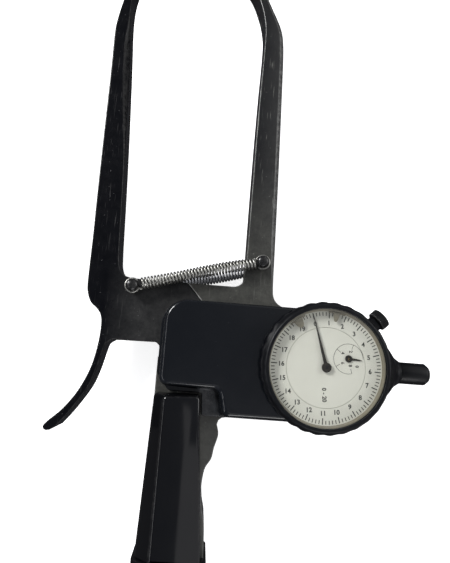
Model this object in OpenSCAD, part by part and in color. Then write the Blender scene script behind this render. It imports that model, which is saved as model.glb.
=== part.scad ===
// Skinfold caliper with a dial gauge, lying on its back.
// The origin is on the main pivot axis, in the plane that it lies on.
// +Y runs up the arms to the jaws, +X along the gauge stem, +Z out of the dial.

/* [Arms and plates] */
// Thickness of the fixed arm and its plate
plate_t = 14; // [13:0.5:14]
// Play under the moving arm's front face, below the cover
lap_play = 0.3; // [0.2:0.05:0.4]
// Radius of the moving arm's round pivot boss
boss_r = 16; // [15:0.5:16]
// Running gap round the pivot boss
boss_gap = 0.3; // [0.2:0.05:0.5]
// Length of a jaw face, across the arm
jaw_l = 15; // [12:0.5:15]
// Height of a jaw face, along the arms
jaw_h = 6; // [5:0.5:6]

/* [Pivot] */
// Radius of the pivot bolt's shaft
pivot_r = 4; // [3:0.1:4.2]
// Radial running clearance of the pivot bush
pivot_fit = 0.05; // [0.02:0.01:0.09]
// Outside radius of the pivot bush
bush_r = 6; // [5.6:0.1:6.2]

/* [Springs] */
// Outside radius of the coil
spring_r = 2.9; // [2.5:0.1:2.9]
// Wire diameter
spring_wire = 0.85; // [0.7:0.05:1]
// Radius of the spring posts
post_r = 2.5; // [2.2:0.1:2.6]

/* [Housing and handle] */
// Height of the front cover's face above the plate
cover_h = 13; // [12.8:0.1:14]
// Wall of the covers
cover_wall = 1.2; // [1:0.1:1.3]
// Depth of the rear cover
rear_h = 8; // [8:0.5:9]
// Height of the front grip above the plate
grip_h = 11; // [9:0.5:12]

/* [Gauge] */
// Outside radius of the bezel
bezel_r = 29.2; // [28.6:0.1:29.4]
// Number of scallops round the bezel
bezel_n = 36; // [24:1:48]
// Radius of the gauge stem
stem_r = 4; // [3.8:0.1:4]
// Radius of the gauge spindle
spindle_r = 2; // [1.6:0.1:2]
// Radius of the dust cap
cap_r = 5; // [4.8:0.1:5.4]
// Radius of the bezel clamp knob
knob_r = 4.7; // [4.2:0.1:4.8]

/* [Hidden] */

$fn = 48;
e = 0.01;

// Levels above the plane that it lies on
z0 = rear_h;            // rear face of the plates
z1 = z0 + plate_t;      // front face of the plates
zm = z1 - lap_play;     // front face of the moving arm
zl = z0 + plate_t / 2;  // joint face of the half lap
zc = z1 + cover_h;      // front face of the cover
zs = z1 + 6;            // gauge stem axis
zg = z1 + 0.5;          // back of the gauge
zf = z1 + 4.4;          // front spring axis
zr = z0 - 4;            // rear spring axis

// Gauge centre, revolution counter and hairspring centres
G = [63.8, -10];
cd = 10.8;
ca = 24.7;
C = [G[0] + cd * cos(ca), G[1] + cd * sin(ca)];
S = [G[0] - cd * cos(ca), G[1] + cd * sin(ca)];
pinion_r = 1.8;
gear_r = 9;
rack_pinion_r = 5 / (2 * PI);

// Spring posts
PF = [34.3, 37.4];
PM = [-26.6, 21.2];
spring_d = PF - PM;
spring_len = norm(spring_d);
spring_a = atan2(spring_d[1], spring_d[0]);

// Screw places
COVER_SCREWS = [[38, 11], [38, -31], [24, -31], [-5.3, -18.3]];
GRIP_SCREWS = [[-0.5, -46], [0.5, -86]];
CLAMP_SCREWS = [[26.5, -3.2], [26.5, -16.8]];
CAM_SCREWS = [[-2.4, -10.4], [-2.8, -13.6]];

// Jaw plane
jaw_x = -6.3;
jaw_y = 200;

// ---- Curves ----
function cr(p0, p1, p2, p3, t) = 0.5 * (2 * p1 + (p2 - p0) * t + (2 * p0 - 5 * p1 + 4 * p2 - p3) * t * t + (3 * p1 - p0 - 3 * p2 + p3) * t * t * t);
// Smooth curve through a list of points
function curve(p, n = 3) = concat([for (i = [0:len(p) - 2]) for (k = [0:n - 1])
    cr(p[max(i - 1, 0)], p[i], p[i + 1], p[min(i + 2, len(p) - 1)], k / n)], [p[len(p) - 1]]);
function arc(c, r, a0, a1, n = 16) = [for (i = [0:n]) let (a = a0 + (a1 - a0) * i / n) [c[0] + r * cos(a), c[1] + r * sin(a)]];
function unit(v) = v / norm(v);
function fillet(a, b, c, r, n) = let (u = unit(a - b), v = unit(c - b), h = acos(u * v) / 2,
    p = b + u * r / tan(h), q = b + v * r / tan(h), m = b + unit(u + v) * r / sin(h),
    a0 = atan2(p[1] - m[1], p[0] - m[0]), a1 = atan2(q[1] - m[1], q[0] - m[0]), d = ((a1 - a0 + 540) % 360) - 180)
    [for (i = [0:n]) m + r * [cos(a0 + d * i / n), sin(a0 + d * i / n)]];
// Outline of [x, y, corner radius] corners
function rounded(p, n = 8) = let (k = len(p)) [for (i = [0:k - 1]) each (p[i][2] <= 0 ? [[p[i][0], p[i][1]]]
    : fillet([p[(i + k - 1) % k][0], p[(i + k - 1) % k][1]], [p[i][0], p[i][1]], [p[(i + 1) % k][0], p[(i + 1) % k][1]], p[i][2], n))];

// ---- Outlines ----
// Right edge of the handle tang, with its finger grooves, from the bottom up
TANG_R = [[16.9, -101], [16.5, -92], [15.8, -83.4], [14.4, -77.9], [13.5, -70], [13.7, -64.3], [14.6, -59.8],
    [17, -55.7], [17.9, -50.8], [19.4, -44.8], [18.4, -40.2]];
// Outside and inside edges of the fixed arm
FIX_OUT = [[40.6, 44], [40.3, 68], [39.9, 93], [39.4, 119], [38.8, 146], [38.2, 156], [37.1, 162.4], [34.8, 168.4], [32, 174],
    [29.4, 179.3], [27.3, 184.4], [24.7, 189.4], [20, 194.6], [12.6, 199.4], [4.4, 202.2], [jaw_x + 2.1, 203]];
FIX_IN = [[jaw_x + 2.1, 197], [5.4, 196.4], [13, 193.4], [18.8, 189], [22, 184], [24.2, 178.7], [26.2, 172.9], [27.6, 166.6], [28.3, 160],
    [28.2, 146], [27.8, 132], [27.4, 111], [27.1, 85], [26.9, 58], [26.8, 36]];
// Edges of the moving arm
MOV_IN = [[-35, 34], [-35.5, 42], [-36.6, 65.6], [-38, 92], [-39.6, 118.5], [-41, 140], [-42.2, 156], [-42.7, 166],
    [-42.5, 174], [-41.5, 181], [-39.4, 186.6], [-35.4, 191.2], [-29, 194.3], [-20, 196.3], [jaw_x - 2.1, 197]];
MOV_OUT = [[jaw_x - 2.1, 203], [-19, 202.1], [-28.4, 200], [-36.2, 196.2], [-41.6, 190.4], [-44.6, 184], [-46, 177.4], [-47.1, 171],
    [-48.3, 164.9], [-49.2, 159], [-49.7, 152], [-49.4, 130], [-49.3, 100], [-49.1, 70], [-48.8, 45], [-48.8, 30]];
// Finger lever, outside edge down and inside edge up
TRIG_OUT = [[-48.8, 30], [-48.7, 20.5], [-48, 16.2], [-46.2, 12.2], [-43.4, 9.8], [-41.3, 7.3], [-40.3, 4], [-40.2, -1.5],
    [-40.9, -9.2], [-42.9, -18.7], [-47.4, -29.2], [-53.4, -37.8], [-59.6, -43.8]];
TRIG_IN = [[-55.6, -46.4], [-49.7, -38.7], [-43.1, -28], [-40.1, -19.4], [-38, -10.6], [-36.8, -6.8], [-34, -4.7]];

// Joint line of the half lap, tangent to the boss
lap_a = 42.2;
function lap_pt(r) = r * [cos(lap_a), sin(lap_a)];
function lap_top(r, y) = lap_pt(r) + (y - lap_pt(r)[1]) / cos(lap_a) * [-sin(lap_a), cos(lap_a)];

module fixed_outline() {
    polygon(concat(
        rounded([[-13.3, -78, 0], [-14.5, -105, 1.5], [17, -105, 1.5], [16.9, -101, 0]]),
        curve(TANG_R),
        [[19, -38.2], [20.4, -37.1], [23, -36.6]],
        rounded([[23, -36.6, 0], [52, -36.6, 5], [52, 16.6, 3], [48, 16.6, 0]]),
        curve([[48, 16.6], [45.2, 17.4], [42.6, 19.2], [41.1, 22], [40.7, 26], [40.6, 32]]),
        curve(FIX_OUT), curve(FIX_IN),
        rounded([[26.8, 36, 0], [26.6, 25.1, 5.6], [-11.9, 25.1, 1], [-11.9, -28, 0], [-12.6, -50, 0]])));
}

module moving_outline() {
    polygon(concat(curve(MOV_OUT), curve(TRIG_OUT),
        [[-61.2, -45.7], [-61.6, -46.8], [-61.1, -47.8], [-59.9, -48.3], [-58.2, -48]], curve(TRIG_IN),
        [[-28.4, -4.5], [-15.6, -4.3], [-15.6, 25.1]],
        [[-28, 25.3]], curve([[-31.2, 26.1], [-33.6, 28.6], [-34.7, 31.6]])  , curve(MOV_IN)));
}

module lap_outline() {
    polygon(concat([[-17, 25.1]], [lap_top(boss_r, 25.1)], arc([0, 0], boss_r, lap_a, -135, 40),
        [[-11.5, -7.2], [-11.9, -5.7], [-13.2, -4.6], [-14.6, -4.3], [-17, -4.3]]));
}

// Front cover: its low flange, and its raised middle inset by d
FLANGE = [[-11.5, 16.7, 12], [60, 16.7, 0], [60, -36.5, 0], [10.7, -36.5, 0.6], [9.9, -26.2, 0.5], [-5.5, -26.2, 2.5], [-11.5, -18.5, 3.2]];
function plateau(d) = [[-9.7 + d, 16.2 - 0.6 * d, 11 - d], [60, 16.2 - 0.6 * d, 0], [60, -35.4 + d, 0], [19.8 + d, -35.4 + d, 2.4],
    [17.3 + 0.9 * d, -23.6 + d, 4.4], [-9.7 + d, -23.2 + d, 3.4]];

// Rear cover outline, inset by d
function housing(d) = [[-11.5 + d, 16.7 - 0.5 * d, 10.5 - d], [60, 16.7 - 0.5 * d, 0], [60, -36.5 + d, 0],
    [16 + d, -36.5 + d, 2.6], [11.6 + d * 0.9, -24.4 + d, 3.4], [-11.5 + d, -23.6 + d, 3.2]];

module post(z_lo, z_hi) {
    // Shank in the arm, necks for the spring loops and domed heads
    translate([0, 0, z0 - e]) cylinder(r = post_r, h = plate_t);
    translate([0, 0, z_lo]) cylinder(r = 2.3, h = z_hi - z_lo);
    translate([0, 0, z_lo]) cylinder(r = 2.9, h = 1.8);
    translate([0, 0, zf + 1.3]) cylinder(r = 2.9, h = 0.9);
    translate([0, 0, zf + 2.2]) intersection() {
        translate([0, 0, -1.7]) sphere(r = 3.35);
        cylinder(r = 2.9, h = 3);
    }
}

module coil(z) {
    translate([PM[0], PM[1], z]) rotate([0, 0, spring_a]) {
        translate([4.3, 0, 0]) rotate([0, 90, 0]) difference() {
            cylinder(r = spring_r, h = spring_len - 8.6);
            translate([0, 0, -1]) cylinder(r = spring_r - spring_wire, h = spring_len);
        }
        for (x = [0, spring_len]) translate([x, 0, 0]) rotate_extrude() translate([3.2, 0]) circle(r = spring_wire / 2, $fn = 16);
        translate([3.3, 0, 0]) rotate([0, 90, 0]) cylinder(r = spring_wire / 2, h = 1.1, $fn = 16);
        translate([3.9, -spring_wire / 2, -spring_r + 0.2]) cube([0.5, spring_wire, 2 * spring_r - 0.4]);
        translate([spring_len - 4.4, 0, 0]) rotate([0, 90, 0]) cylinder(r = spring_wire / 2, h = 1.1, $fn = 16);
        translate([spring_len - 4.4, -spring_wire / 2, -spring_r + 0.2]) cube([0.5, spring_wire, 2 * spring_r - 0.4]);
    }
}

module holes(places, r, z, h) {
    for (p = places) translate([p[0], p[1], z]) cylinder(r = r, h = h);
}

module gear(rt, rr, n, h) {
    linear_extrude(h) polygon([for (i = [0:n - 1]) each [let (a = 360 / n * (i - 0.28)) rr * [cos(a), sin(a)],
        let (a = 360 / n * (i - 0.14)) rt * [cos(a), sin(a)], let (a = 360 / n * (i + 0.14)) rt * [cos(a), sin(a)],
        let (a = 360 / n * (i + 0.28)) rr * [cos(a), sin(a)]]]);
}

// ---- Frame ----
module fixed_arm() {
    color([0.30, 0.30, 0.27]) difference() {
        translate([0, 0, z0]) linear_extrude(plate_t) fixed_outline();
        // Front half of the lap
        translate([0, 0, zl]) {
            cylinder(r = boss_r + boss_gap, h = plate_t, $fn = 96);
            linear_extrude(plate_t) polygon([lap_pt(boss_r + boss_gap), lap_top(boss_r + boss_gap, 40), [-60, 40], [-60, -3], [0, -3]]);
        }
        translate([0, 0, z0 - 1]) cylinder(r = pivot_r + 0.02, h = plate_t);
        translate([PF[0], PF[1], z0 - 1]) cylinder(r = post_r + 0.01, h = plate_t + 2);
        holes(COVER_SCREWS, 1.7, z0 - 1, plate_t + 2);
        holes(GRIP_SCREWS, 1.7, z0 - 1, plate_t + 2);
        holes(CLAMP_SCREWS, 1.51, z1 - 9, 10);
        translate([1.3, -92, zl]) rotate([90, 0, 0]) cylinder(r = 1.51, h = 20);
    }
}

module fixed_jaw_face() {
    color([0.75, 0.75, 0.76]) difference() {
        translate([jaw_x + 0.05, jaw_y - jaw_h / 2, z0 + plate_t / 2 - jaw_l / 2]) cube([2.05, jaw_h, jaw_l]);
        translate([jaw_x, jaw_y + jaw_h / 2, z0 - 5]) rotate([0, 0, 45]) translate([-0.4, -0.4, 0]) cube([0.8, 0.8, 40]);
        translate([jaw_x, jaw_y - jaw_h / 2, z0 - 5]) rotate([0, 0, 45]) translate([-0.4, -0.4, 0]) cube([0.8, 0.8, 40]);
    }
}

module pivot_bolt() {
    color([0.45, 0.45, 0.46]) difference() {
        union() {
            translate([0, 0, z0 - 3.4]) cylinder(r = 6.2, h = 3.4);
            translate([0, 0, z0 - e]) cylinder(r = pivot_r, h = z1 - z0 + 7);
        }
        translate([-8, -0.6, z0 - 4]) cube([16, 1.2, 1.8]);
    }
}

module pivot_washer() {
    color([0.7, 0.7, 0.7]) translate([0, 0, zm + 0.12]) difference() {
        cylinder(r = 6.4, h = 1.3);
        translate([0, 0, -1]) cylinder(r = pivot_r + 0.1, h = 4);
    }
}

module pivot_nut() {
    color([0.6, 0.6, 0.6]) translate([0, 0, zm + 1.42]) difference() {
        cylinder(r = 6.4, h = 4, $fn = 6);
        translate([0, 0, -1]) cylinder(r = pivot_r + 0.01, h = 6);
    }
}

module fixed_spring_post() {
    color([0.16, 0.16, 0.16]) translate([PF[0], PF[1], 0]) post(0, zf + 2.2);
}

// ---- Moving arm ----
module moving_arm() {
    color([0.10, 0.10, 0.11]) difference() {
        union() {
            translate([0, 0, z0]) linear_extrude(zm - z0) moving_outline();
            translate([0, 0, zl + 0.1]) linear_extrude(zm - zl - 0.1) lap_outline();
        }
        translate([0, 0, z0]) cylinder(r = bush_r + 0.01, h = plate_t);
        translate([PM[0], PM[1], z0 - 1]) cylinder(r = post_r + 0.01, h = plate_t + 2);
        holes(CAM_SCREWS, 1.01, zm - 4, 8);
    }
}

module moving_jaw_face() {
    color([0.75, 0.75, 0.76]) mirror([1, 0, 0]) translate([-2 * jaw_x, 0, 0]) difference() {
        translate([jaw_x + 0.05, jaw_y - jaw_h / 2, z0 + plate_t / 2 - jaw_l / 2]) cube([2.05, jaw_h, jaw_l]);
        translate([jaw_x, jaw_y + jaw_h / 2, z0 - 5]) rotate([0, 0, 45]) translate([-0.4, -0.4, 0]) cube([0.8, 0.8, 40]);
        translate([jaw_x, jaw_y - jaw_h / 2, z0 - 5]) rotate([0, 0, 45]) translate([-0.4, -0.4, 0]) cube([0.8, 0.8, 40]);
    }
}

module pivot_bush() {
    color([0.72, 0.55, 0.25]) translate([0, 0, zl + 0.1]) difference() {
        cylinder(r = bush_r, h = zm - zl - 0.1);
        translate([0, 0, -1]) cylinder(r = pivot_r + pivot_fit, h = 20);
    }
}

// Contact face of the cam: the involute of a 10 mm circle, so that the spindle moves 10 mm a radian
cam_base = 10;
function cam_pt(a) = let (s = 4.85 + cam_base * a * PI / 180) [s * cos(a) - cam_base * sin(a), -s * sin(a) - cam_base * cos(a)];
module gauge_cam() {
    color([0.62, 0.62, 0.63]) difference() {
        union() {
            translate([0, 0, zm]) linear_extrude(2) polygon(concat([for (i = [0:12]) cam_pt(-6 + 34 * i / 12)],
                [[1, -15.3], [-4.6, -14.7], [-5.2, -9.6], [-3.4, -8], [1, -8.2]]));
            translate([0, 0, zm]) linear_extrude(zs + 3 - zm) polygon(concat([for (i = [0:12]) cam_pt(-6 + 34 * i / 12)],
                [[0.4, -14.6], [0, -12], [0.4, -8.9]]));
        }
        holes(CAM_SCREWS, 1.01, zm - 1, 5);
    }
}

module cam_screws() {
    color([0.35, 0.35, 0.36]) for (p = CAM_SCREWS) translate([p[0], p[1], 0]) {
        translate([0, 0, zm - 3.6]) cylinder(r = 1, h = 5.7);
        translate([0, 0, zm + 2]) difference() {
            cylinder(r = 1.5, h = 1.2);
            translate([-2, -0.2, 0.6]) cube([4, 0.4, 2]);
        }
    }
}

module moving_spring_post() {
    color([0.16, 0.16, 0.16]) translate([PM[0], PM[1], 0]) post(0.3, zf + 2.2);
}

module front_spring() { color([0.75, 0.75, 0.74]) coil(zf); }
module rear_spring() { color([0.75, 0.75, 0.74]) coil(zr); }

// ---- Housing ----
module front_cover() {
    color([0.05, 0.05, 0.07]) difference() {
        union() {
            difference() {
                union() {
                    translate([0, 0, z1]) linear_extrude(2) polygon(rounded(FLANGE));
                    translate([0, 0, z1]) linear_extrude(cover_h) polygon(rounded(plateau(0)));
                }
                difference() {
                    translate([0, 0, z1 - 1]) linear_extrude(cover_h + 1 - cover_wall) polygon(rounded(plateau(cover_wall)));
                    translate([G[0], G[1], 0]) cylinder(r = 27.9 + cover_wall, h = 60, $fn = 96);
                }
            }
            intersection() {
                holes(COVER_SCREWS, 2.8, z1, cover_h - 0.5);
                translate([0, 0, z1]) linear_extrude(cover_h) polygon(rounded(plateau(0)));
            }
        }
        translate([G[0], G[1], 0]) cylinder(r = 27.9, h = 60, $fn = 96);
        holes(COVER_SCREWS, 1.51, z1 - 1, 10);
        translate([30, G[1], zs]) rotate([0, 90, 0]) cylinder(r = 4.4, h = 20);
    }
}

module rear_cover() {
    color([0.07, 0.07, 0.08]) difference() {
        union() {
            difference() {
                linear_extrude(z0 - 0.02) difference() {
                    polygon(rounded(housing(1)));
                    translate([50.5, -60]) square([40, 120]);
                }
                translate([0, 0, 1.8]) linear_extrude(z0) difference() {
                    polygon(rounded(housing(2.6)));
                    translate([49, -60]) square([40, 120]);
                }
            }
            holes(COVER_SCREWS, 4, 0, z0 - 0.02);
        }
        holes(COVER_SCREWS, 1.7, -1, 20);
        holes(COVER_SCREWS, 2.9, -1, 3.6);
    }
}

module cover_screws() {
    color([0.3, 0.3, 0.31]) for (p = COVER_SCREWS) translate([p[0], p[1], 0]) difference() {
        union() {
            translate([0, 0, 0.6]) cylinder(r = 2.8, h = 2);
            translate([0, 0, 2]) cylinder(r = 1.5, h = z1 + 6);
        }
        translate([-3, -0.4, 0]) cube([6, 0.8, 1.4]);
    }
}

module front_grip() {
    color([0.09, 0.09, 0.10]) difference() {
        hull() {
            translate([0, 0, z1 + 0.02]) linear_extrude(4.5) polygon(rounded([[-11.7, -27.2, 2], [9.4, -26.7, 1.5], [15.6, -98.4, 0.5], [-13.9, -98.4, 0.5]]));
            translate([0, 0, z1 + grip_h - 0.4]) linear_extrude(0.4) polygon(rounded([[-6.9, -28.2, 2], [9.1, -27.2, 1.5], [15.2, -98.4, 0.5], [-7, -98.4, 0.5]]));
        }
        holes(GRIP_SCREWS, 1.51, z1 - 1, 7.5);
    }
}

module rear_grip() {
    color([0.09, 0.09, 0.10]) difference() {
        union() {
            translate([0, 0, 1.2]) linear_extrude(z0 - 1.22) rear_grip_outline(0);
            linear_extrude(1.3) rear_grip_outline(1.2);
        }
        holes(GRIP_SCREWS, 1.7, -1, 20);
        holes(GRIP_SCREWS, 3, -1, 3.6);
    }
}

module rear_grip_outline(d) {
    polygon(concat([[-11.9 + d, -27.6 - d], [8.8 - d, -27.2 - d], [10.6 - d, -34], [15 - d, -38.6 - d]],
        [for (i = [0:len(TANG_R) - 2]) [TANG_R[len(TANG_R) - 1 - i][0] - d, TANG_R[len(TANG_R) - 1 - i][1]]],
        [[16.8 - d, -98.4], [-14.1 + d, -98.4], [-13.3 + d, -78], [-12.6 + d, -50]]));
}

module grip_screws() {
    color([0.3, 0.3, 0.31]) for (p = GRIP_SCREWS) translate([p[0], p[1], 0]) difference() {
        union() {
            translate([0, 0, 0.7]) cylinder(r = 2.9, h = 1.9);
            translate([0, 0, 2]) cylinder(r = 1.5, h = z1 + 4);
        }
        translate([-3, -0.4, 0]) cube([6, 0.8, 1.4]);
    }
}

module end_cap() {
    color([0.07, 0.07, 0.08]) difference() {
        hull() {
            translate([0, -98.6, 0]) rotate([90, 0, 0]) linear_extrude(8) end_section(0);
            translate([0, -98.6, 0]) rotate([90, 0, 0]) linear_extrude(12.4) end_section(2.2);
        }
        // Pocket for the tang and the hole for its screw
        translate([-14.6, -105.1, z0 - 0.05]) cube([31.8, 8, plate_t + 0.1]);
        translate([1.3, -90, zl]) rotate([90, 0, 0]) cylinder(r = 1.7, h = 40);
        translate([1.3, -108.6, zl]) rotate([90, 0, 0]) cylinder(r = 3, h = 20);
    }
}

module end_section(d) {
    polygon(rounded([[-15.2 + d, 0.4 + d, 2.4], [18 - d, 0.4 + d, 2.4], [18 - d, z1 + 4, 3], [16 - d, z1 + grip_h + 0.4 - d, 1.5],
        [-8 + d, z1 + grip_h + 0.4 - d, 3], [-15.2 + d, z1 + 5 - d, 3]], 4));
}

module end_cap_screw() {
    color([0.5, 0.5, 0.5]) translate([1.3, 0, zl]) rotate([90, 0, 0]) difference() {
        union() {
            translate([0, 0, 94]) cylinder(r = 1.5, h = 15);
            translate([0, 0, 108.6]) cylinder(r = 2.8, h = 1.8);
        }
        translate([-3, -0.4, 109.6]) cube([6, 0.8, 2]);
    }
}

module stem_clamp() {
    color([0.55, 0.55, 0.56]) difference() {
        translate([20, -19, z1]) cube([13, 18, 11.6]);
        translate([10, G[1], zs]) rotate([0, 90, 0]) cylinder(r = stem_r + 0.02, h = 40);
        translate([19, G[1], zs - 0.4]) cube([15, 12, 0.8]);
        holes(CLAMP_SCREWS, 1.6, z1 - 1, 20);
        holes(CLAMP_SCREWS, 2.4, z1 + 9, 20);
    }
}

module stem_clamp_screws() {
    color([0.35, 0.35, 0.36]) for (p = CLAMP_SCREWS) translate([p[0], p[1], 0]) difference() {
        union() {
            translate([0, 0, z1 - 7]) cylinder(r = 1.5, h = 17);
            translate([0, 0, z1 + 9]) cylinder(r = 2.3, h = 2.2);
        }
        translate([0, 0, z1 + 10]) cylinder(r = 1.2, h = 5, $fn = 6);
    }
}

// ---- Gauge ----
module at_gauge() { translate([G[0], G[1], 0]) children(); }
module along(a, r0, z) { at_gauge() rotate([0, 0, a]) translate([r0, 0, z]) rotate([0, 90, 0]) children(); }
knob_a = 42.9;
zk = z1 + 11.8;

// Horn between the case and the dust cap: distance from the gauge's centre, radius
HORN = [[24, 17.5], [27, 15.2], [29, 13.2], [30.5, 11.6], [32, 9.8], [33.2, 8.2], [34.4, 7], [35.6, 6.1], [36.4, 5.6], [37, 5.3]];

module gauge_case() {
    color([0.06, 0.06, 0.08]) difference() {
        union() {
            at_gauge() rotate_extrude($fn = 96) polygon([[26, zg + 1.5], [27.5, zg + 1.5], [27.5, z1 + 14.5], [26, z1 + 14.6], [26, z1 + 17.4],
                [24.8, z1 + 17.4], [24.8, z1 + 14], [21.6, z1 + 14], [21.6, z1 + 12.8], [26, z1 + 12.8]]);
            // Stem boss, cap boss and the boss of the bezel clamp screw
            intersection() {
                union() {
                    along(180, 26.4, zs) cylinder(r = 5, h = 0.8);
                    along(knob_a, 26.4, zk) cylinder(r = 3.5, h = 5.9);
                    difference() {
                        along(0, 0, zs) rotate_extrude($fn = 72) polygon(concat([[0, HORN[0][0]]], [for (p = HORN) [p[1], p[0]]], [[0, 37]]));
                        at_gauge() cylinder(r = 26.4, h = 60, $fn = 96);
                    }
                }
                at_gauge() translate([-40, -40, zg + 1.5]) cube([80, 80, 12.5]);
            }
            along(0, 36, zs) cylinder(r = cap_r - 1.02, h = 1.6);
        }
        along(180, 20, zs) cylinder(r = stem_r + 0.01, h = 20);
        along(0, 20, zs) cylinder(r = spindle_r + 0.05, h = 20);
        along(knob_a, 20, zk) cylinder(r = 1.55, h = 20);
    }
}

module gauge_back() {
    color([0.08, 0.08, 0.09]) at_gauge() difference() {
        translate([0, 0, zg]) cylinder(r = 27.3, h = 1.5, $fn = 96);
        for (a = [45:90:315]) rotate([0, 0, a]) translate([24.2, 0, zg - 1]) cylinder(r = 0.86, h = 4);
        for (a = [45:90:315]) rotate([0, 0, a]) translate([24.2, 0, zg - 1]) cylinder(r = 1.7, h = 1.8);
    }
}

module gauge_back_screws() {
    color([0.6, 0.6, 0.6]) at_gauge() for (a = [45:90:315]) rotate([0, 0, a]) translate([24.2, 0, 0]) difference() {
        union() {
            translate([0, 0, zg + 0.05]) cylinder(r = 1.6, h = 0.75);
            translate([0, 0, zg + 0.6]) cylinder(r = 0.85, h = 4);
        }
        translate([-2, -0.15, zg]) cube([4, 0.3, 0.4]);
    }
}

module gauge_stem() {
    color([0.65, 0.65, 0.66]) difference() {
        translate([16, G[1], zs]) rotate([0, 90, 0]) cylinder(r = stem_r, h = G[0] - 16 - 25.4);
        translate([10, G[1], zs]) rotate([0, 90, 0]) cylinder(r = spindle_r + 0.05, h = 40);
    }
}

module dust_cap() {
    color([0.05, 0.05, 0.07]) along(0, 37.12, zs) difference() {
        union() {
            cylinder(r = cap_r, h = 12.1);
            translate([0, 0, 12.1]) cylinder(r1 = cap_r, r2 = cap_r - 1.4, h = 1.8);
        }
        translate([0, 0, -1]) cylinder(r = cap_r - 1, h = 12.5);
    }
}

module movement_rear_plate() {
    color([0.72, 0.6, 0.3]) at_gauge() difference() {
        union() {
            translate([0, 0, zg + 2.2]) cylinder(r = 21, h = 1.1);
            for (a = [90, 205, 325]) rotate([0, 0, a]) translate([18.4, 0, zg + 2.2]) cylinder(r = 1.6, h = 11.31);
        }
        for (p = [[0, 0], C - G, S - G]) translate([p[0], p[1], zg]) cylinder(r = 0.75, h = 5);
    }
}

module movement_front_plate() {
    color([0.72, 0.6, 0.3]) at_gauge() difference() {
        union() {
            translate([0, 0, z1 + 14.02]) cylinder(r = 24.6, h = 1.1);
            // Bridge under the centre arbor, which ends above the spindle
            translate([-1.3, -7.6, z1 + 8.9]) cube([2.6, 9, 0.9]);
            translate([-1.3, -7.6, z1 + 8.9]) cube([2.6, 2.6, 5.2]);
        }
        for (p = [[0, 0], C - G, S - G]) translate([p[0], p[1], z1 + 8]) cylinder(r = 0.75, h = 10);
    }
}

zd = z1 + 17.8;  // underside of the dial
module dial_plate() {
    color([0.82, 0.82, 0.80]) at_gauge() difference() {
        union() {
            translate([0, 0, zd]) cylinder(r = 17.55, h = 0.6, $fn = 96);
            for (a = [100, 280]) rotate([0, 0, a]) translate([14, 0, z1 + 15.14]) cylinder(r = 0.9, h = 3);
        }
        translate([0, 0, zd - 1]) cylinder(r = 1.1, h = 3);
        translate([C[0] - G[0], C[1] - G[1], zd - 1]) cylinder(r = 0.9, h = 3);
    }
}

module spindle() {
    color([0.7, 0.7, 0.7]) difference() {
        union() {
            translate([10.5, G[1], zs]) rotate([0, 90, 0]) cylinder(r = spindle_r, h = 90);
            // Collar that the return spring pushes on, and the tail inside the cap
            translate([102, G[1], zs]) rotate([0, 90, 0]) cylinder(r = 3.4, h = 1.2);
            translate([100, G[1], zs]) rotate([0, 90, 0]) cylinder(r = 1.2, h = 8);
            // Toothed rack, level with the counter's pinion
            translate([0, 0, zs - 1.2]) linear_extrude(2.4) polygon(concat([[66, -9.6], [82, -9.6]],
                [for (i = [0:31]) each [[82 - 0.5 * i, C[1] - rack_pinion_r - 0.35], [82 - 0.5 * i - 0.12, C[1] - rack_pinion_r - 0.06],
                    [82 - 0.5 * i - 0.3, C[1] - rack_pinion_r - 0.06], [82 - 0.5 * i - 0.42, C[1] - rack_pinion_r - 0.35]]]));
        }
        translate([0, G[1], zs]) rotate([0, 90, 0]) cylinder(r = 0.81, h = 14.5);
    }
}

module contact_tip() {
    color([0.8, 0.8, 0.8]) translate([0, G[1], zs]) difference() {
        union() {
            translate([6.5, 0, 0]) sphere(r = 1.5);
            translate([6.5, 0, 0]) rotate([0, 90, 0]) cylinder(r = 1.5, h = 1);
            translate([7.3, 0, 0]) rotate([0, 90, 0]) cylinder(r = 1.9, h = 3.18);
            translate([10, 0, 0]) rotate([0, 90, 0]) cylinder(r = 0.8, h = 4);
        }
        translate([8, -3, 1.6]) cube([1.4, 6, 2]);
    }
}

module spindle_spring() {
    color([0.75, 0.75, 0.74]) translate([103.25, G[1], zs]) rotate([0, 90, 0]) difference() {
        cylinder(r = 3.1, h = 8.7);
        translate([0, 0, -1]) cylinder(r = 2.6, h = 12);
    }
}

module centre_pinion() {
    color([0.75, 0.68, 0.4]) translate([G[0], G[1], 0]) {
        translate([0, 0, z1 + 8.7]) cylinder(r = 0.6, h = zd + 1.9 - z1 - 8.7);
        translate([0, 0, z1 + 10.4]) gear(pinion_r - 0.04, pinion_r - 0.45, 12, 2);
    }
}

module main_pointer() {
    color([0.12, 0.11, 0.10]) translate([G[0], G[1], 0]) rotate([0, 0, 106.9]) difference() {
        union() {
            translate([0, 0, zd + 1.3]) cylinder(r = 2.15, h = 1);
            translate([0, 0, zd + 1.4]) linear_extrude(0.3) polygon([[-2, -0.6], [1.5, -0.75], [12, -0.42], [24.6, -0.09], [24.6, 0.09], [12, 0.42], [1.5, 0.75], [-2, 0.6]]);
        }
        translate([0, 0, zd]) cylinder(r = 0.61, h = 2);
    }
}

module counter_gear() {
    color([0.75, 0.68, 0.4]) translate([C[0], C[1], 0]) {
        translate([0, 0, zg + 2.4]) cylinder(r = 0.45, h = zd + 1.1 - zg - 2.4);
        translate([0, 0, zs - 1.4]) gear(rack_pinion_r - 0.02, rack_pinion_r - 0.2, 10, 2.8);
        translate([0, 0, z1 + 10.9]) difference() {
            gear(gear_r - 0.08, gear_r - 0.5, 60, 1);
            for (a = [0:90:270]) rotate([0, 0, a]) translate([4.9, 0, -1]) cylinder(r = 2.2, h = 4);
        }
    }
}

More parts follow.
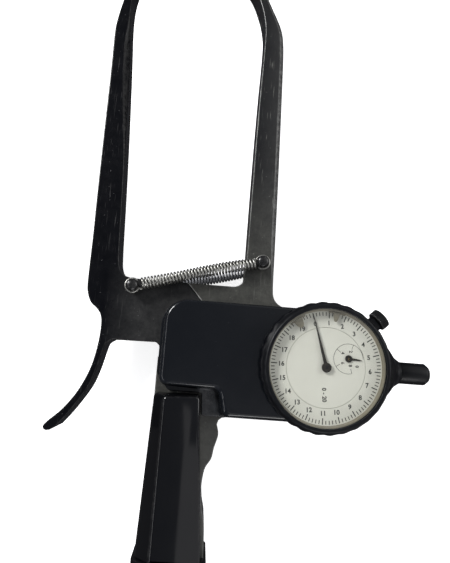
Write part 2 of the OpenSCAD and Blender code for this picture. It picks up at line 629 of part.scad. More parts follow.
module counter_pointer() {
    color([0.12, 0.11, 0.10]) translate([C[0], C[1], 0]) rotate([0, 0, -3]) difference() {
        union() {
            translate([0, 0, zd + 0.9]) cylinder(r = 1.15, h = 0.35);
            translate([0, 0, zd + 0.9]) linear_extrude(0.2) polygon([[-1, -0.4], [1, -0.5], [6, -0.08], [6, 0.08], [1, 0.5], [-1, 0.4]]);
        }
        translate([0, 0, zd]) cylinder(r = 0.46, h = 1.1);
    }
}

module hairspring_gear() {
    color([0.75, 0.68, 0.4]) translate([S[0], S[1], 0]) {
        translate([0, 0, zg + 2.4]) cylinder(r = 0.6, h = z1 + 15 - zg - 2.4);
        translate([0, 0, z1 + 10.9]) difference() {
            gear(gear_r - 0.08, gear_r - 0.5, 60, 1);
            for (a = [45:90:315]) rotate([0, 0, a]) translate([4.9, 0, -1]) cylinder(r = 2.2, h = 4);
        }
    }
}

// Flat spiral that takes up the play of the teeth
function spiral(r0, dr, w, a0, a1, n) = concat(
    [for (i = [0:n]) let (t = i / n, a = a0 + (a1 - a0) * t, r = r0 + dr * t) (r + w / 2) * [cos(a), sin(a)]],
    [for (i = [n:-1:0]) let (t = i / n, a = a0 + (a1 - a0) * t, r = r0 + dr * t) (r - w / 2) * [cos(a), sin(a)]]);
module hairspring() {
    color([0.5, 0.55, 0.7]) translate([S[0], S[1], z1 + 12.5]) linear_extrude(0.8) polygon(spiral(0.95, 4.4, 0.18, 0, 1440, 96));
}

module bezel() {
    color([0.05, 0.05, 0.07]) at_gauge() difference() {
        rotate_extrude($fn = 96) polygon([[26.08, z1 + 14.9], [bezel_r - 0.5, z1 + 14.9], [bezel_r, z1 + 15.5], [bezel_r, z1 + 19],
            [bezel_r - 0.5, z1 + 20.5], [27.9, z1 + 22.3], [27.3, z1 + 23], [25.5, z1 + 23], [25.5, z1 + 22.42], [27, z1 + 22.42], [27, z1 + 21],
            [25.45, z1 + 21], [24.95, z1 + 18.6], [26.4, z1 + 18.5], [26.4, z1 + 17.7], [26.08, z1 + 17.7]]);
        for (i = [0:bezel_n - 1]) rotate([0, 0, 360 / bezel_n * i]) translate([bezel_r + 1, 0, z1 + 14]) cylinder(r = 1.35, h = 5.6, $fn = 24);
    }
}

module crystal() {
    color([0.85, 0.9, 0.92, 0.3]) at_gauge() translate([0, 0, z1 + 21.02]) cylinder(r = 26.95, h = 1.36, $fn = 96);
}

module scale_ring() {
    color([0.82, 0.82, 0.80]) at_gauge() translate([0, 0, zd]) difference() {
        cylinder(r = 26.3, h = 0.6, $fn = 96);
        translate([0, 0, -1]) cylinder(r = 17.8, h = 3, $fn = 96);
    }
}

// Sliding limit markers under the rim of the bezel
module marker(a) {
    at_gauge() rotate([0, 0, a]) translate([0, 0, zd + 2.1]) linear_extrude(0.4)
        polygon(concat(arc([0, 0], 24.9, -9, 9, 12), [for (i = [0:12]) let (t = i / 12, b = 9 - 18 * t, w = pow(cos(180 * (t - 0.5)), 2))
            (23.9 - 3.5 * w) * [cos(b), sin(b)]]));
}
module low_limit_marker() { color([0.62, 0.56, 0.42]) marker(125); }
module high_limit_marker() { color([0.62, 0.56, 0.42]) marker(82); }

module bezel_clamp_screw() {
    color([0.05, 0.05, 0.06]) {
        along(knob_a, 25, zk) cylinder(r = 1.5, h = 9);
        along(knob_a, 32.6, zk) difference() {
            cylinder(r = knob_r, h = 3.9);
            for (i = [0:23]) rotate([0, 0, 15 * i]) translate([knob_r + 0.25, 0, -1]) cylinder(r = 0.5, h = 6, $fn = 16);
        }
    }
}

fixed_arm();
fixed_jaw_face();
pivot_bolt();
pivot_washer();
pivot_nut();
fixed_spring_post();
moving_arm();
moving_jaw_face();
pivot_bush();
gauge_cam();
cam_screws();
moving_spring_post();
front_spring();
rear_spring();
front_cover();
rear_cover();
cover_screws();
front_grip();
rear_grip();
grip_screws();
end_cap();
end_cap_screw();
stem_clamp();
stem_clamp_screws();
gauge_case();
gauge_back();
gauge_back_screws();
gauge_stem();
dust_cap();
movement_rear_plate();
movement_front_plate();
dial_plate();
spindle();
contact_tip();
spindle_spring();
centre_pinion();
main_pointer();
counter_gear();
counter_pointer();
hairspring_gear();
hairspring();
bezel();
crystal();
scale_ring();
low_limit_marker();
high_limit_marker();
bezel_clamp_screw();
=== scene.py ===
import math

import bmesh
import bpy
from mathutils import Matrix, Vector


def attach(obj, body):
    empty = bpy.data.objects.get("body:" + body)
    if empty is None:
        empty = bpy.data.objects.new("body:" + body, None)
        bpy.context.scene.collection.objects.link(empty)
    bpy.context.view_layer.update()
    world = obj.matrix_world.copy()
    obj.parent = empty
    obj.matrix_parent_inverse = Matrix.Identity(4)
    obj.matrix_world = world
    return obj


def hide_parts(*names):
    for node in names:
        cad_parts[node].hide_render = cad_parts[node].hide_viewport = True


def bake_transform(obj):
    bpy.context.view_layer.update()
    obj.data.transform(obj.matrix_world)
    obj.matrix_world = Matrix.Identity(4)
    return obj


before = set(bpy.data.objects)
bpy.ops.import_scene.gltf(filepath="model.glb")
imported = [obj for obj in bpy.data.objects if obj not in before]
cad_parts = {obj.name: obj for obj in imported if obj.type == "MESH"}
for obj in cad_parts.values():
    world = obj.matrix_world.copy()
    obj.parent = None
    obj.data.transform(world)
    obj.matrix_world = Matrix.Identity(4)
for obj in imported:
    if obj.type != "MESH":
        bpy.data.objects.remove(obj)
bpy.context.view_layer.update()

MM = 0.001
PI = math.pi
SC = bpy.context.scene

# ------------------------------------------------------------------ camera
# Pinhole fitted to the photograph: focal length in pixels of a 450 x 563 frame, the pixel below the camera,
# the turn of +Y from the frame's vertical, and the height above the arms' front face.
FW, FH, FOC = 450.0, 563.0, 500.0


def camera():
    nd = Vector((201 - FW / 2, 352 - FH / 2, FOC)).normalized()
    zc = -nd
    y = Vector((math.sin(math.radians(4.7)), -math.cos(math.radians(4.7)), 0))
    yc = (y - y.dot(zc) * zc).normalized()
    xc = yc.cross(zc)
    rows = [Vector((xc[i], yc[i], zc[i])) for i in range(3)]  # camera right, down and forward in the part's frame
    px = Vector((185 - FW / 2, 335 - FH / 2, FOC))
    ray = rows[0] * px[0] + rows[1] * px[1] + rows[2] * px[2]
    place = (Vector((0, 0, 22)) - (239.933 / -ray.z) * ray) * MM
    cam = bpy.data.objects.new("camera", bpy.data.cameras.new("camera"))
    SC.collection.objects.link(cam)
    cam.data.sensor_width = 36
    cam.data.lens = 36 * FOC / FH
    cam.data.clip_start, cam.data.clip_end = 0.01, 10
    right, up, back = rows[0], -rows[1], -rows[2]
    cam.matrix_world = Matrix(((right.x, up.x, back.x, place.x), (right.y, up.y, back.y, place.y),
                               (right.z, up.z, back.z, place.z), (0, 0, 0, 1)))
    SC.camera = cam


camera()
SC.view_settings.view_transform = "Standard"
SC.view_settings.look = "None"


# ------------------------------------------------------------------ materials
def node(nt, kind, **props):
    n = nt.nodes.new(kind)
    for k, v in props.items():
        setattr(n, k, v)
    return n


def noise(nt, vec, scale, detail=4.0, rough=0.55, stretch=None, turn=0.0):
    if stretch:
        m = node(nt, "ShaderNodeMapping")
        m.inputs["Rotation"].default_value = (0, 0, turn)
        m.inputs["Scale"].default_value = stretch
        nt.links.new(vec, m.inputs["Vector"])
        vec = m.outputs["Vector"]
    n = node(nt, "ShaderNodeTexNoise")
    n.inputs["Scale"].default_value = scale
    n.inputs["Detail"].default_value = detail
    n.inputs["Roughness"].default_value = rough
    nt.links.new(vec, n.inputs["Vector"])
    return n.outputs["Fac"]


def remap(nt, val, a, b, c, d):
    m = node(nt, "ShaderNodeMapRange", clamp=True)
    for k, v in zip(("From Min", "From Max", "To Min", "To Max"), (a, b, c, d)):
        m.inputs[k].default_value = v
    nt.links.new(val, m.inputs["Value"])
    return m.outputs["Result"]


def mul(nt, a, b):
    m = node(nt, "ShaderNodeMath", operation="MULTIPLY")
    nt.links.new(a, m.inputs[0])
    if isinstance(b, (int, float)):
        m.inputs[1].default_value = b
    else:
        nt.links.new(b, m.inputs[1])
    return m.outputs[0]


def mixc(nt, fac, a, b):
    m = node(nt, "ShaderNodeMix", data_type="RGBA")
    nt.links.new(fac, m.inputs[0])
    for i, v in ((6, a), (7, b)):
        if isinstance(v, tuple):
            m.inputs[i].default_value = (*v, 1)
        else:
            nt.links.new(v, m.inputs[i])
    return m.outputs[2]


def mixf(nt, fac, a, b):
    m = node(nt, "ShaderNodeMix", data_type="FLOAT")
    nt.links.new(fac, m.inputs[0])
    for i, v in ((2, a), (3, b)):
        if isinstance(v, (int, float)):
            m.inputs[i].default_value = v
        else:
            nt.links.new(v, m.inputs[i])
    return m.outputs[0]


def make(name, base, base2, rough=(0.3, 0.45), metal=0.0, scale=120, bump=0.15, grain=2500, coat=0.0, coat_rough=0.1,
         spec=0.5, aniso=0.0, edge=None, speck=None, scratch=None, brush=None, zone=None, dust=None):
    """Painted, moulded or metal surface: colour and roughness drift, fine grain in the bump, worn rims, specks and scratches."""
    m = bpy.data.materials.new(name)
    m.use_nodes = True
    nt = m.node_tree
    bs = nt.nodes["Principled BSDF"]
    tc = node(nt, "ShaderNodeTexCoord").outputs["Object"]
    drift = noise(nt, tc, scale, 5, 0.6)
    col = mixc(nt, remap(nt, drift, 0.32, 0.68, 0, 1), base, base2)
    rgh = remap(nt, noise(nt, tc, scale * 2.7, 4, 0.6), 0.3, 0.7, rough[0], rough[1])
    for limits, tone, zr in zone or ():  # another tone over one part of the piece, on the arms mostly painted sheen: limits are (axis, from, to)
        sep = node(nt, "ShaderNodeSeparateXYZ")
        nt.links.new(tc, sep.inputs[0])
        f = mul(nt, remap(nt, noise(nt, tc, 90, 6, 0.7), 0.25, 0.6, 0.5, 1), remap(nt, noise(nt, tc, 520, 7, 0.8), 0.36, 0.6, 0.62, 1.12))
        for axis, lo, hi in limits:
            f = mul(nt, f, remap(nt, sep.outputs[axis], lo, hi, 0, 1))
        col = mixc(nt, f, col, tone)
        rgh = mixf(nt, f, rgh, zr)
    if brush:  # long parallel marks: (stretch, scale, depth of the colour change)
        st, sc, amt = brush
        b = noise(nt, tc, sc, 3, 0.6, stretch=st)
        col = mixc(nt, mul(nt, remap(nt, b, 0.3, 0.7, 0, 1), amt), col, base2)
        rgh = mixf(nt, mul(nt, remap(nt, b, 0.35, 0.65, 0, 1), 0.6), rgh, rough[1])
    if scratch:  # thin straight scratches: (colour, turn, amount)
        tone, turn, amt = scratch
        for k, (t, sx) in enumerate(((turn, 5), (turn + 1.9, 7), (turn - 0.7, 4))):
            s = noise(nt, tc, 260 + 60 * k, 2, 0.5, stretch=(sx, 0.22, 1), turn=t)
            s = remap(nt, s, 0.665, 0.70, 0, 1)
            s = mul(nt, s, remap(nt, noise(nt, tc, 70 + 20 * k, 2, 0.5), 0.45, 0.62, 0, amt))
            col = mixc(nt, s, col, tone)
            rgh = mixf(nt, s, rgh, 0.28)
    if speck:  # chips and dust: (colour, size scale, threshold, amount)
        tone, sz, th, amt = speck
        s = remap(nt, noise(nt, tc, sz, 2, 0.5), th, th + 0.03, 0, amt)
        col = mixc(nt, s, col, tone)
    if dust:
        tone, amt = dust
        d = mul(nt, remap(nt, noise(nt, tc, 35, 8, 0.75), 0.45, 0.75, 0, 1), amt)
        col = mixc(nt, d, col, tone)
        rgh = mixf(nt, d, rgh, 0.6)
    if edge:  # rims rubbed through: (colour, amount)
        tone, amt = edge
        at = node(nt, "ShaderNodeAttribute", attribute_name="edge").outputs["Fac"]
        e = mul(nt, mul(nt, remap(nt, at, 0.35, 1, 0, 1), remap(nt, noise(nt, tc, 420, 5, 0.7), 0.42, 0.6, 0.15, 1)), amt)
        col = mixc(nt, e, col, tone)
    nt.links.new(col, bs.inputs["Base Color"])
    nt.links.new(rgh, bs.inputs["Roughness"])
    bs.inputs["Metallic"].default_value = metal
    bs.inputs["Specular IOR Level"].default_value = spec
    if aniso:
        bs.inputs["Anisotropic"].default_value = aniso
    if coat:
        bs.inputs["Coat Weight"].default_value = coat
        bs.inputs["Coat Roughness"].default_value = coat_rough
    if bump:
        b = node(nt, "ShaderNodeBump")
        b.inputs["Strength"].default_value = bump
        b.inputs["Distance"].default_value = 0.0001
        h = noise(nt, tc, grain, 3, 0.5)
        if brush:
            h = mixf(nt, remap(nt, h, 0, 1, 0.5, 0.5), h, noise(nt, tc, brush[1], 3, 0.6, stretch=brush[0]))
        nt.links.new(h, b.inputs["Height"])
        nt.links.new(b.outputs["Normal"], bs.inputs["Normal"])
    return m


def make_glass(name):
    m = bpy.data.materials.new(name)
    m.use_nodes = True
    nt = m.node_tree
    nt.nodes.remove(nt.nodes["Principled BSDF"])
    out = nt.nodes["Material Output"]
    clear = node(nt, "ShaderNodeBsdfTransparent")
    clear.inputs["Color"].default_value = (0.975, 0.98, 0.965, 1)
    gloss = node(nt, "ShaderNodeBsdfGlossy")
    gloss.inputs["Color"].default_value = (1, 1, 1, 1)
    tc = node(nt, "ShaderNodeTexCoord").outputs["Object"]
    nt.links.new(remap(nt, noise(nt, tc, 160, 6, 0.7), 0.4, 0.8, 0.02, 0.10), gloss.inputs["Roughness"])
    facing = node(nt, "ShaderNodeLayerWeight")
    facing.inputs["Blend"].default_value = 0.5
    power = node(nt, "ShaderNodeMath", operation="POWER")
    nt.links.new(facing.outputs["Facing"], power.inputs[0])
    power.inputs[1].default_value = 5
    mix = node(nt, "ShaderNodeMixShader")
    nt.links.new(remap(nt, power.outputs[0], 0, 1, 0.035, 0.9), mix.inputs[0])
    nt.links.new(clear.outputs[0], mix.inputs[1])
    nt.links.new(gloss.outputs[0], mix.inputs[2])
    nt.links.new(mix.outputs[0], out.inputs["Surface"])
    return m


M = {}
# Left arm: near-black paint. Its zone near the hub is a lighter, rougher patch that stands for dust and, growing
# towards the housing, for painted sheen.
M["arm_left"] = make("arm_paint_dark", (0.0016, 0.0018, 0.0028), (0.0030, 0.0032, 0.0044), rough=(0.20, 0.30), scale=70, bump=0.14, grain=1500,
                     spec=0.20, edge=((0.045, 0.045, 0.045), 0.5), speck=((0.10, 0.10, 0.10), 900, 0.735, 0.8),
                     scratch=((0.05, 0.05, 0.05), 0.4, 0.5), zone=[(((1, 0.038, 0.020), (1, -0.012, -0.004), (0, -0.040, -0.021)), (0.030, 0.030, 0.030), 0.42)])
# Right arm: the same black paint as the left arm, given a lighter base colour as painted sheen. Its zones paint more
# sheen: on the outer upper arm, growing lighter down the arm, and lightest on the handle tang. Rims, specks and
# scratches are wear.
M["arm_right"] = make("arm_paint_sheen_worn", (0.0052, 0.0055, 0.0066), (0.0092, 0.0094, 0.0100), rough=(0.24, 0.36), scale=60, bump=0.16, grain=1500,
                      spec=0.4, edge=((0.16, 0.16, 0.155), 0.8), speck=((0.15, 0.15, 0.14), 800, 0.74, 0.7),
                      scratch=((0.12, 0.12, 0.11), -0.35, 0.8), zone=[(((1, 0.030, 0.060), (0, 0.029, 0.040)), (0.026, 0.026, 0.026), 0.40),
                                                                      (((1, 0.085, 0.030),), (0.062, 0.062, 0.055), 0.40),
                                                                      (((1, -0.034, -0.040),), (0.100, 0.100, 0.092), 0.42)])
M["housing"] = make("housing_gloss", (0.0030, 0.0038, 0.0055), (0.0040, 0.0048, 0.0066), rough=(0.14, 0.22), scale=45, bump=0.05, grain=600, coat=0.35,
                    coat_rough=0.05, spec=0.4, edge=((0.02, 0.022, 0.026), 0.5), speck=((0.04, 0.045, 0.05), 1100, 0.76, 0.6),
                    zone=[(((2, 0.0215, 0.0225), (2, 0.0256, 0.0242), (0, 0.0070, 0.0095), (0, 0.0195, 0.0165)), (0.060, 0.062, 0.066), 0.30)])
M["grip"] = make("grip_gloss", (0.0026, 0.0028, 0.0036), (0.0040, 0.0042, 0.0050), rough=(0.035, 0.06), scale=50, bump=0.02, grain=500, spec=0.5,
                 zone=[(((2, 0.0325, 0.0318),), (0.0036, 0.0038, 0.0046), 0.24)], edge=((0.03, 0.03, 0.03), 0.5), brush=((6, 0.5, 1), 90, 0.5))
M["case"] = make("case_enamel", (0.0024, 0.0028, 0.0040), (0.0038, 0.0042, 0.0055), rough=(0.30, 0.42), scale=80, bump=0.12, grain=1500,
                 spec=0.22, edge=((0.06, 0.06, 0.065), 0.35), speck=((0.06, 0.06, 0.065), 1100, 0.755, 0.6))
M["cap"] = make("cap_enamel", (0.0026, 0.0029, 0.0038), (0.0040, 0.0043, 0.0054), rough=(0.34, 0.46), scale=90, bump=0.12, grain=1600,
                spec=0.24, edge=((0.04, 0.04, 0.043), 0.4), speck=((0.05, 0.05, 0.055), 1100, 0.76, 0.5))
M["knob"] = make("knob_black", (0.0026, 0.0028, 0.0034), (0.0042, 0.0044, 0.0052), rough=(0.30, 0.42), scale=200, bump=0.15, grain=2000,
                 spec=0.26, edge=((0.07, 0.07, 0.07), 0.6))
M["steel"] = make("turned_steel", (0.42, 0.42, 0.42), (0.5, 0.5, 0.5), rough=(0.24, 0.36), metal=1, scale=250, bump=0.08, grain=4000, aniso=0.4,
                  brush=((1, 12, 12), 160, 0.5), edge=((0.6, 0.6, 0.6), 0.5))
M["jaw"] = make("ground_steel", (0.5, 0.5, 0.5), (0.6, 0.6, 0.59), rough=(0.22, 0.34), metal=1, scale=300, bump=0.15, grain=3000,
                brush=((10, 10, 0.4), 300, 0.7))
M["black_steel"] = make("blackened_steel", (0.018, 0.018, 0.019), (0.032, 0.031, 0.03), rough=(0.28, 0.42), metal=0.6, scale=300, bump=0.15,
                        grain=3500, edge=((0.2, 0.2, 0.2), 0.6))
M["post"] = make("post_steel", (0.010, 0.010, 0.011), (0.02, 0.02, 0.02), rough=(0.2, 0.34), metal=0.3, scale=400, bump=0.25, grain=2500,
                 speck=((0.08, 0.08, 0.08), 1500, 0.7, 0.6))
M["spring"] = make("spring_wire", (0.30, 0.30, 0.28), (0.44, 0.435, 0.41), rough=(0.34, 0.48), metal=1, scale=420, bump=0.1, grain=5000,
                   speck=((0.12, 0.11, 0.10), 900, 0.62, 0.6))
# Rear spring: a darker, bluish, duller copy of the front spring's wire, as painted shade for its place under the arms.
M["spring_dull"] = make("spring_wire_shaded", (0.17, 0.175, 0.19), (0.26, 0.265, 0.28), rough=(0.45, 0.6), metal=0.5, scale=420, bump=0.1, grain=5000,
                        speck=((0.05, 0.05, 0.05), 900, 0.62, 0.6))
M["bronze"] = make("bush_bronze", (0.42, 0.27, 0.12), (0.52, 0.35, 0.17), rough=(0.3, 0.42), metal=1, scale=300, bump=0.1, grain=3000)
M["brass"] = make("cut_brass", (0.60, 0.44, 0.19), (0.70, 0.54, 0.27), rough=(0.25, 0.38), metal=1, scale=300, bump=0.08, grain=3500,
                  brush=((12, 0.6, 1), 260, 0.4))
M["dial"] = make("dial_enamel", (0.665, 0.655, 0.61), (0.70, 0.69, 0.645), rough=(0.5, 0.62), scale=150, bump=0.06, grain=3500,
                 speck=((0.47, 0.45, 0.39), 800, 0.745, 0.5), dust=((0.58, 0.56, 0.50), 0.25))
M["print"] = make("dial_print", (0.014, 0.0135, 0.012), (0.028, 0.027, 0.024), rough=(0.55, 0.7), scale=900, bump=0.05, grain=4000)
M["print_thin"] = make("dial_print_thin", (0.36, 0.355, 0.32), (0.44, 0.43, 0.39), rough=(0.55, 0.7), scale=900, bump=0.05, grain=4000)
M["rehaut"] = make("rehaut_tan", (0.17, 0.15, 0.112), (0.23, 0.205, 0.155), rough=(0.4, 0.55), scale=160, bump=0.08, grain=3000,
                   edge=((0.10, 0.09, 0.07), 0.6), dust=((0.25, 0.22, 0.17), 0.4))
M["pointer"] = make("pointer_black", (0.009, 0.008, 0.0062), (0.022, 0.0185, 0.014), rough=(0.5, 0.62), spec=0.25, scale=700, bump=0.1, grain=4000,
                    edge=((0.05, 0.045, 0.035), 0.5))
M["marker"] = make("marker_tan", (0.16, 0.145, 0.11), (0.21, 0.19, 0.145), rough=(0.35, 0.5), scale=500, bump=0.12, grain=3000,
                   edge=((0.2, 0.18, 0.13), 0.5))
M["glass"] = make_glass("crystal_clear")


def worn_line(mat, turn, reach, tone):
    """Painted highlight along the straight edge of the half lap."""
    nt = mat.node_tree
    bs = nt.nodes["Principled BSDF"]
    tc = node(nt, "ShaderNodeTexCoord").outputs["Object"]
    sep = node(nt, "ShaderNodeSeparateXYZ")
    nt.links.new(tc, sep.inputs[0])
    c, k = math.cos(math.radians(turn)), math.sin(math.radians(turn))
    f = remap(nt, sep.outputs[2], 0.0213, 0.0217, 0, 1)
    for v, a, b in (((c, k, 0), reach + 0.00045, reach + 0.00012), ((-k, c, 0), -0.0004, 0.0004)):
        d = node(nt, "ShaderNodeVectorMath", operation="DOT_PRODUCT")
        nt.links.new(tc, d.inputs[0])
        d.inputs[1].default_value = v
        f = mul(nt, f, remap(nt, d.outputs["Value"], a, b, 0, 1))
    f = mul(nt, f, remap(nt, noise(nt, tc, 500, 4, 0.6), 0.35, 0.6, 0.45, 1))
    old = bs.inputs["Base Color"].links[0].from_socket
    nt.links.new(mixc(nt, f, old, tone), bs.inputs["Base Color"])


# painted highlight on the lap seam of the right arm
worn_line(M["arm_right"], 42.2, 0.0163, (0.42, 0.42, 0.41))


# ------------------------------------------------------------------ outlines, in millimetres
def cr(p0, p1, p2, p3, t):
    return tuple(0.5 * (2 * b + (c - a) * t + (2 * a - 5 * b + 4 * c - d) * t * t + (3 * b - a - 3 * c + d) * t ** 3)
                 for a, b, c, d in zip(p0, p1, p2, p3))


def curve(p, n=4):
    out = []
    for i in range(len(p) - 1):
        for k in range(n):
            out.append(cr(p[max(i - 1, 0)], p[i], p[i + 1], p[min(i + 2, len(p) - 1)], k / n))
    return out + [tuple(p[-1])]


def arc(c, r, a0, a1, n=16):
    return [(c[0] + r * math.cos(math.radians(a0 + (a1 - a0) * i / n)), c[1] + r * math.sin(math.radians(a0 + (a1 - a0) * i / n)))
            for i in range(n + 1)]


def rounded(p, n=8):
    """Corners [x, y, radius] to points; a corner with a radius always gives n + 1 points."""
    out, k = [], len(p)
    for i in range(k):
        x, y, r = p[i]
        if r <= 0:
            out.append((x, y))
            continue
        a, b, c = Vector(p[i - 1][:2]), Vector((x, y)), Vector(p[(i + 1) % k][:2])
        u, v = (a - b).normalized(), (c - b).normalized()
        h = math.acos(max(-1, min(1, u.dot(v)))) / 2
        m = b + (u + v).normalized() * r / math.sin(h)
        p0, p1 = b + u * r / math.tan(h), b + v * r / math.tan(h)
        a0, a1 = math.atan2(p0.y - m.y, p0.x - m.x), math.atan2(p1.y - m.y, p1.x - m.x)
        d = (a1 - a0 + 3 * PI) % (2 * PI) - PI
        out += [(m.x + r * math.cos(a0 + d * j / n), m.y + r * math.sin(a0 + d * j / n)) for j in range(n + 1)]
    return out


def clean(p, tol=0.02):
    out = []
    for q in p:
        if not out or math.dist(q, out[-1]) > tol:
            out.append(q)
    while len(out) > 2 and math.dist(out[0], out[-1]) <= tol:
        out.pop()
    area = sum(out[i - 1][0] * out[i][1] - out[i][0] * out[i - 1][1] for i in range(len(out)))
    return out if area > 0 else out[::-1]


def inset(p, d):
    """Moves every point of a counter-clockwise outline inwards; d is one number or one for each point."""
    n, out = len(p), []
    for i in range(n):
        di = d[i] if isinstance(d, (list, tuple)) else d
        a, b, c = Vector(p[i - 1]), Vector(p[i]), Vector(p[(i + 1) % n])
        u, v = (b - a).normalized(), (c - b).normalized()
        nu, nv = Vector((-u.y, u.x)), Vector((-v.y, v.x))
        w = nu + nv
        s = w.length_squared
        q = b + w * (2 * di / s if s > 0.5 else di) if s > 1e-6 else b
        out.append((q.x, q.y))
    return out


BODY_TOP = 25.1
TANG_R = [(16.9, -101), (16.5, -92), (15.8, -83.4), (14.4, -77.9), (13.5, -70), (13.7, -64.3), (14.6, -59.8),
          (17, -55.7), (17.9, -50.8), (19.4, -44.8), (18.4, -40.2)]
JAW_X = -6.3
FIX_OUT = [(40.6, 44), (40.3, 68), (39.9, 93), (39.4, 119), (38.8, 146), (38.2, 156), (37.1, 162.4), (34.8, 168.4), (32, 174),
           (29.4, 179.3), (27.3, 184.4), (24.7, 189.4), (20, 194.6), (12.6, 199.4), (4.4, 202.2), (JAW_X + 2.1, 203)]
FIX_IN = [(JAW_X + 2.1, 197), (5.4, 196.4), (13, 193.4), (18.8, 189), (22, 184), (24.2, 178.7), (26.2, 172.9), (27.6, 166.6), (28.3, 160),
          (28.2, 146), (27.8, 132), (27.4, 111), (27.1, 85), (26.9, 58), (26.8, 36)]
MOV_IN = [(-35, 34), (-35.5, 42), (-36.6, 65.6), (-38, 92), (-39.6, 118.5), (-41, 140), (-42.2, 156), (-42.7, 166),
          (-42.5, 174), (-41.5, 181), (-39.4, 186.6), (-35.4, 191.2), (-29, 194.3), (-20, 196.3), (JAW_X - 2.1, 197)]
MOV_OUT = [(JAW_X - 2.1, 203), (-19, 202.1), (-28.4, 200), (-36.2, 196.2), (-41.6, 190.4), (-44.6, 184), (-46, 177.4), (-47.1, 171),
           (-48.3, 164.9), (-49.2, 159), (-49.7, 152), (-49.4, 130), (-49.3, 100), (-49.1, 70), (-48.8, 45), (-48.8, 30)]
TRIG_OUT = [(-48.8, 30), (-48.7, 20.5), (-48, 16.2), (-46.2, 12.2), (-43.4, 9.8), (-41.3, 7.3), (-40.3, 4), (-40.2, -1.5),
            (-40.9, -9.2), (-42.9, -18.7), (-47.4, -29.2), (-53.4, -37.8), (-59.6, -43.8)]
TRIG_IN = [(-55.6, -46.4), (-49.7, -38.7), (-43.1, -28), (-40.1, -19.4), (-38, -10.6), (-36.8, -6.8), (-34, -4.7)]
LAP_A, BOSS, GAP = 42.2, 16.0, 0.3
G = (63.8, -10.0)
PF, PM = (34.3, 37.4), (-26.6, 21.2)
Z0, Z1 = 8.0, 22.0
ZM, ZL, ZS, ZG, ZF, ZR = 21.7, 15.0, 28.0, 22.5, 26.4, 4.0
ZD = Z1 + 17.8


def lap_pt(r):
    return (r * math.cos(math.radians(LAP_A)), r * math.sin(math.radians(LAP_A)))


def lap_top(r, y):
    p, k = lap_pt(r), math.radians(LAP_A)
    s = (y - p[1]) / math.cos(k)
    return (p[0] - s * math.sin(k), p[1] + s * math.cos(k))


def fixed_outline():
    return clean(rounded([(-13.3, -78, 0), (-14.5, -105, 1.5), (17, -105, 1.5), (16.9, -101, 0)])
                 + curve(TANG_R) + [(19, -38.2), (20.4, -37.1), (23, -36.6)]
                 + rounded([(23, -36.6, 0), (52, -36.6, 5), (52, 16.6, 3), (48, 16.6, 0)])
                 + curve([(48, 16.6), (45.2, 17.4), (42.6, 19.2), (41.1, 22), (40.7, 26), (40.6, 32)])
                 + curve(FIX_OUT) + curve(FIX_IN)
                 + rounded([(26.8, 36, 0), (26.6, 25.1, 5.6), (-11.9, 25.1, 1), (-11.9, -28, 0), (-12.6, -50, 0)]), 0.15)


def moving_outline():
    return clean(curve(MOV_OUT) + curve(TRIG_OUT)
                 + [(-61.2, -45.7), (-61.6, -46.8), (-61.1, -47.8), (-59.9, -48.3), (-58.2, -48)] + curve(TRIG_IN)
                 + [(-28.4, -4.5), (-15.6, -4.3), (-15.6, 25.1), (-28, 25.3)]
                 + curve([(-31.2, 26.1), (-33.6, 28.6), (-34.7, 31.6)]) + curve(MOV_IN), 0.15)


def lap_outline():
    return clean([(-17, 25.1), lap_top(BOSS, 25.1)] + arc((0, 0), BOSS, LAP_A, -135, 60)
                 + [(-11.5, -7.2), (-11.9, -5.7), (-13.2, -4.6), (-14.6, -4.3), (-17, -4.3)], 0.05)


FLANGE = [(-11.5, 16.7, 12), (60, 16.7, 0), (60, -36.5, 0), (10.7, -36.5, 0.6), (9.9, -26.2, 0.5), (-5.5, -26.2, 2.5), (-11.5, -18.5, 3.2)]


def plateau(d, right=60.0):
    return rounded([(-9.7 + d, 16.2 - 0.6 * d, 11 - d), (right, 16.2 - 0.6 * d, 0), (right, -35.4 + d, 0), (19.8 + d, -35.4 + d, 2.4),
                    (17.3 + 0.9 * d, -23.6 + d, 4.4), (-9.7 + d, -23.2 + d, 3.4)], 12)


def housing(d, right=60.0):
    return rounded([(-11.5 + d, 16.7 - 0.5 * d, max(10.5 - d, 1)), (right, 16.7 - 0.5 * d, 0), (right, -36.5 + d, 0),
                    (16 + d, -36.5 + d, 2.6), (11.6 + d * 0.9, -24.4 + d, 3.4), (-11.5 + d, -23.6 + d, 3.2)])


# ------------------------------------------------------------------ mesh building
def new_object(name, bm, mat, body, smooth=35.0, replaces=()):
    bmesh.ops.remove_doubles(bm, verts=bm.verts, dist=1e-7)
    bmesh.ops.recalc_face_normals(bm, faces=bm.faces)
    me = bpy.data.meshes.new(name)
    bm.to_mesh(me)
    bm.free()
    me.materials.clear()
    for m in (mat if isinstance(mat, list) else [mat]):
        me.materials.append(m)
    for f in me.polygons:
        f.use_smooth = True
    me.set_sharp_from_angle(angle=math.radians(smooth))
    ob = bpy.data.objects.new(name, me)
    SC.collection.objects.link(ob)
    if body:
        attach(ob, body)
    if replaces:
        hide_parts(*replaces)
    return ob


def loops_mesh(bm, loops, closed_ring=False, cap0=True, cap1=True, edge=None):
    """Joins loops of equal length, each a list of (x, y, z) in mm, into a skin."""
    layer = bm.verts.layers.float.get("edge") or bm.verts.layers.float.new("edge")
    rings = []
    for k, lp in enumerate(loops):
        ring = []
        for x, y, z in lp:
            v = bm.verts.new((x * MM, y * MM, z * MM))
            v[layer] = edge[k] if edge else 0.0
            ring.append(v)
        rings.append(ring)
    n = len(rings[0])
    pairs = list(zip(rings, rings[1:])) + ([(rings[-1], rings[0])] if closed_ring else [])
    for a, b in pairs:
        for i in range(n):
            j = (i + 1) % n
            bm.faces.new((a[i], a[j], b[j], b[i]))
    if not closed_ring:
        if cap0:
            bm.faces.new(rings[0][::-1])
        if cap1:
            bm.faces.new(rings[-1])
    return rings


def at(p, z):
    return [(x, y, z) for x, y in p]


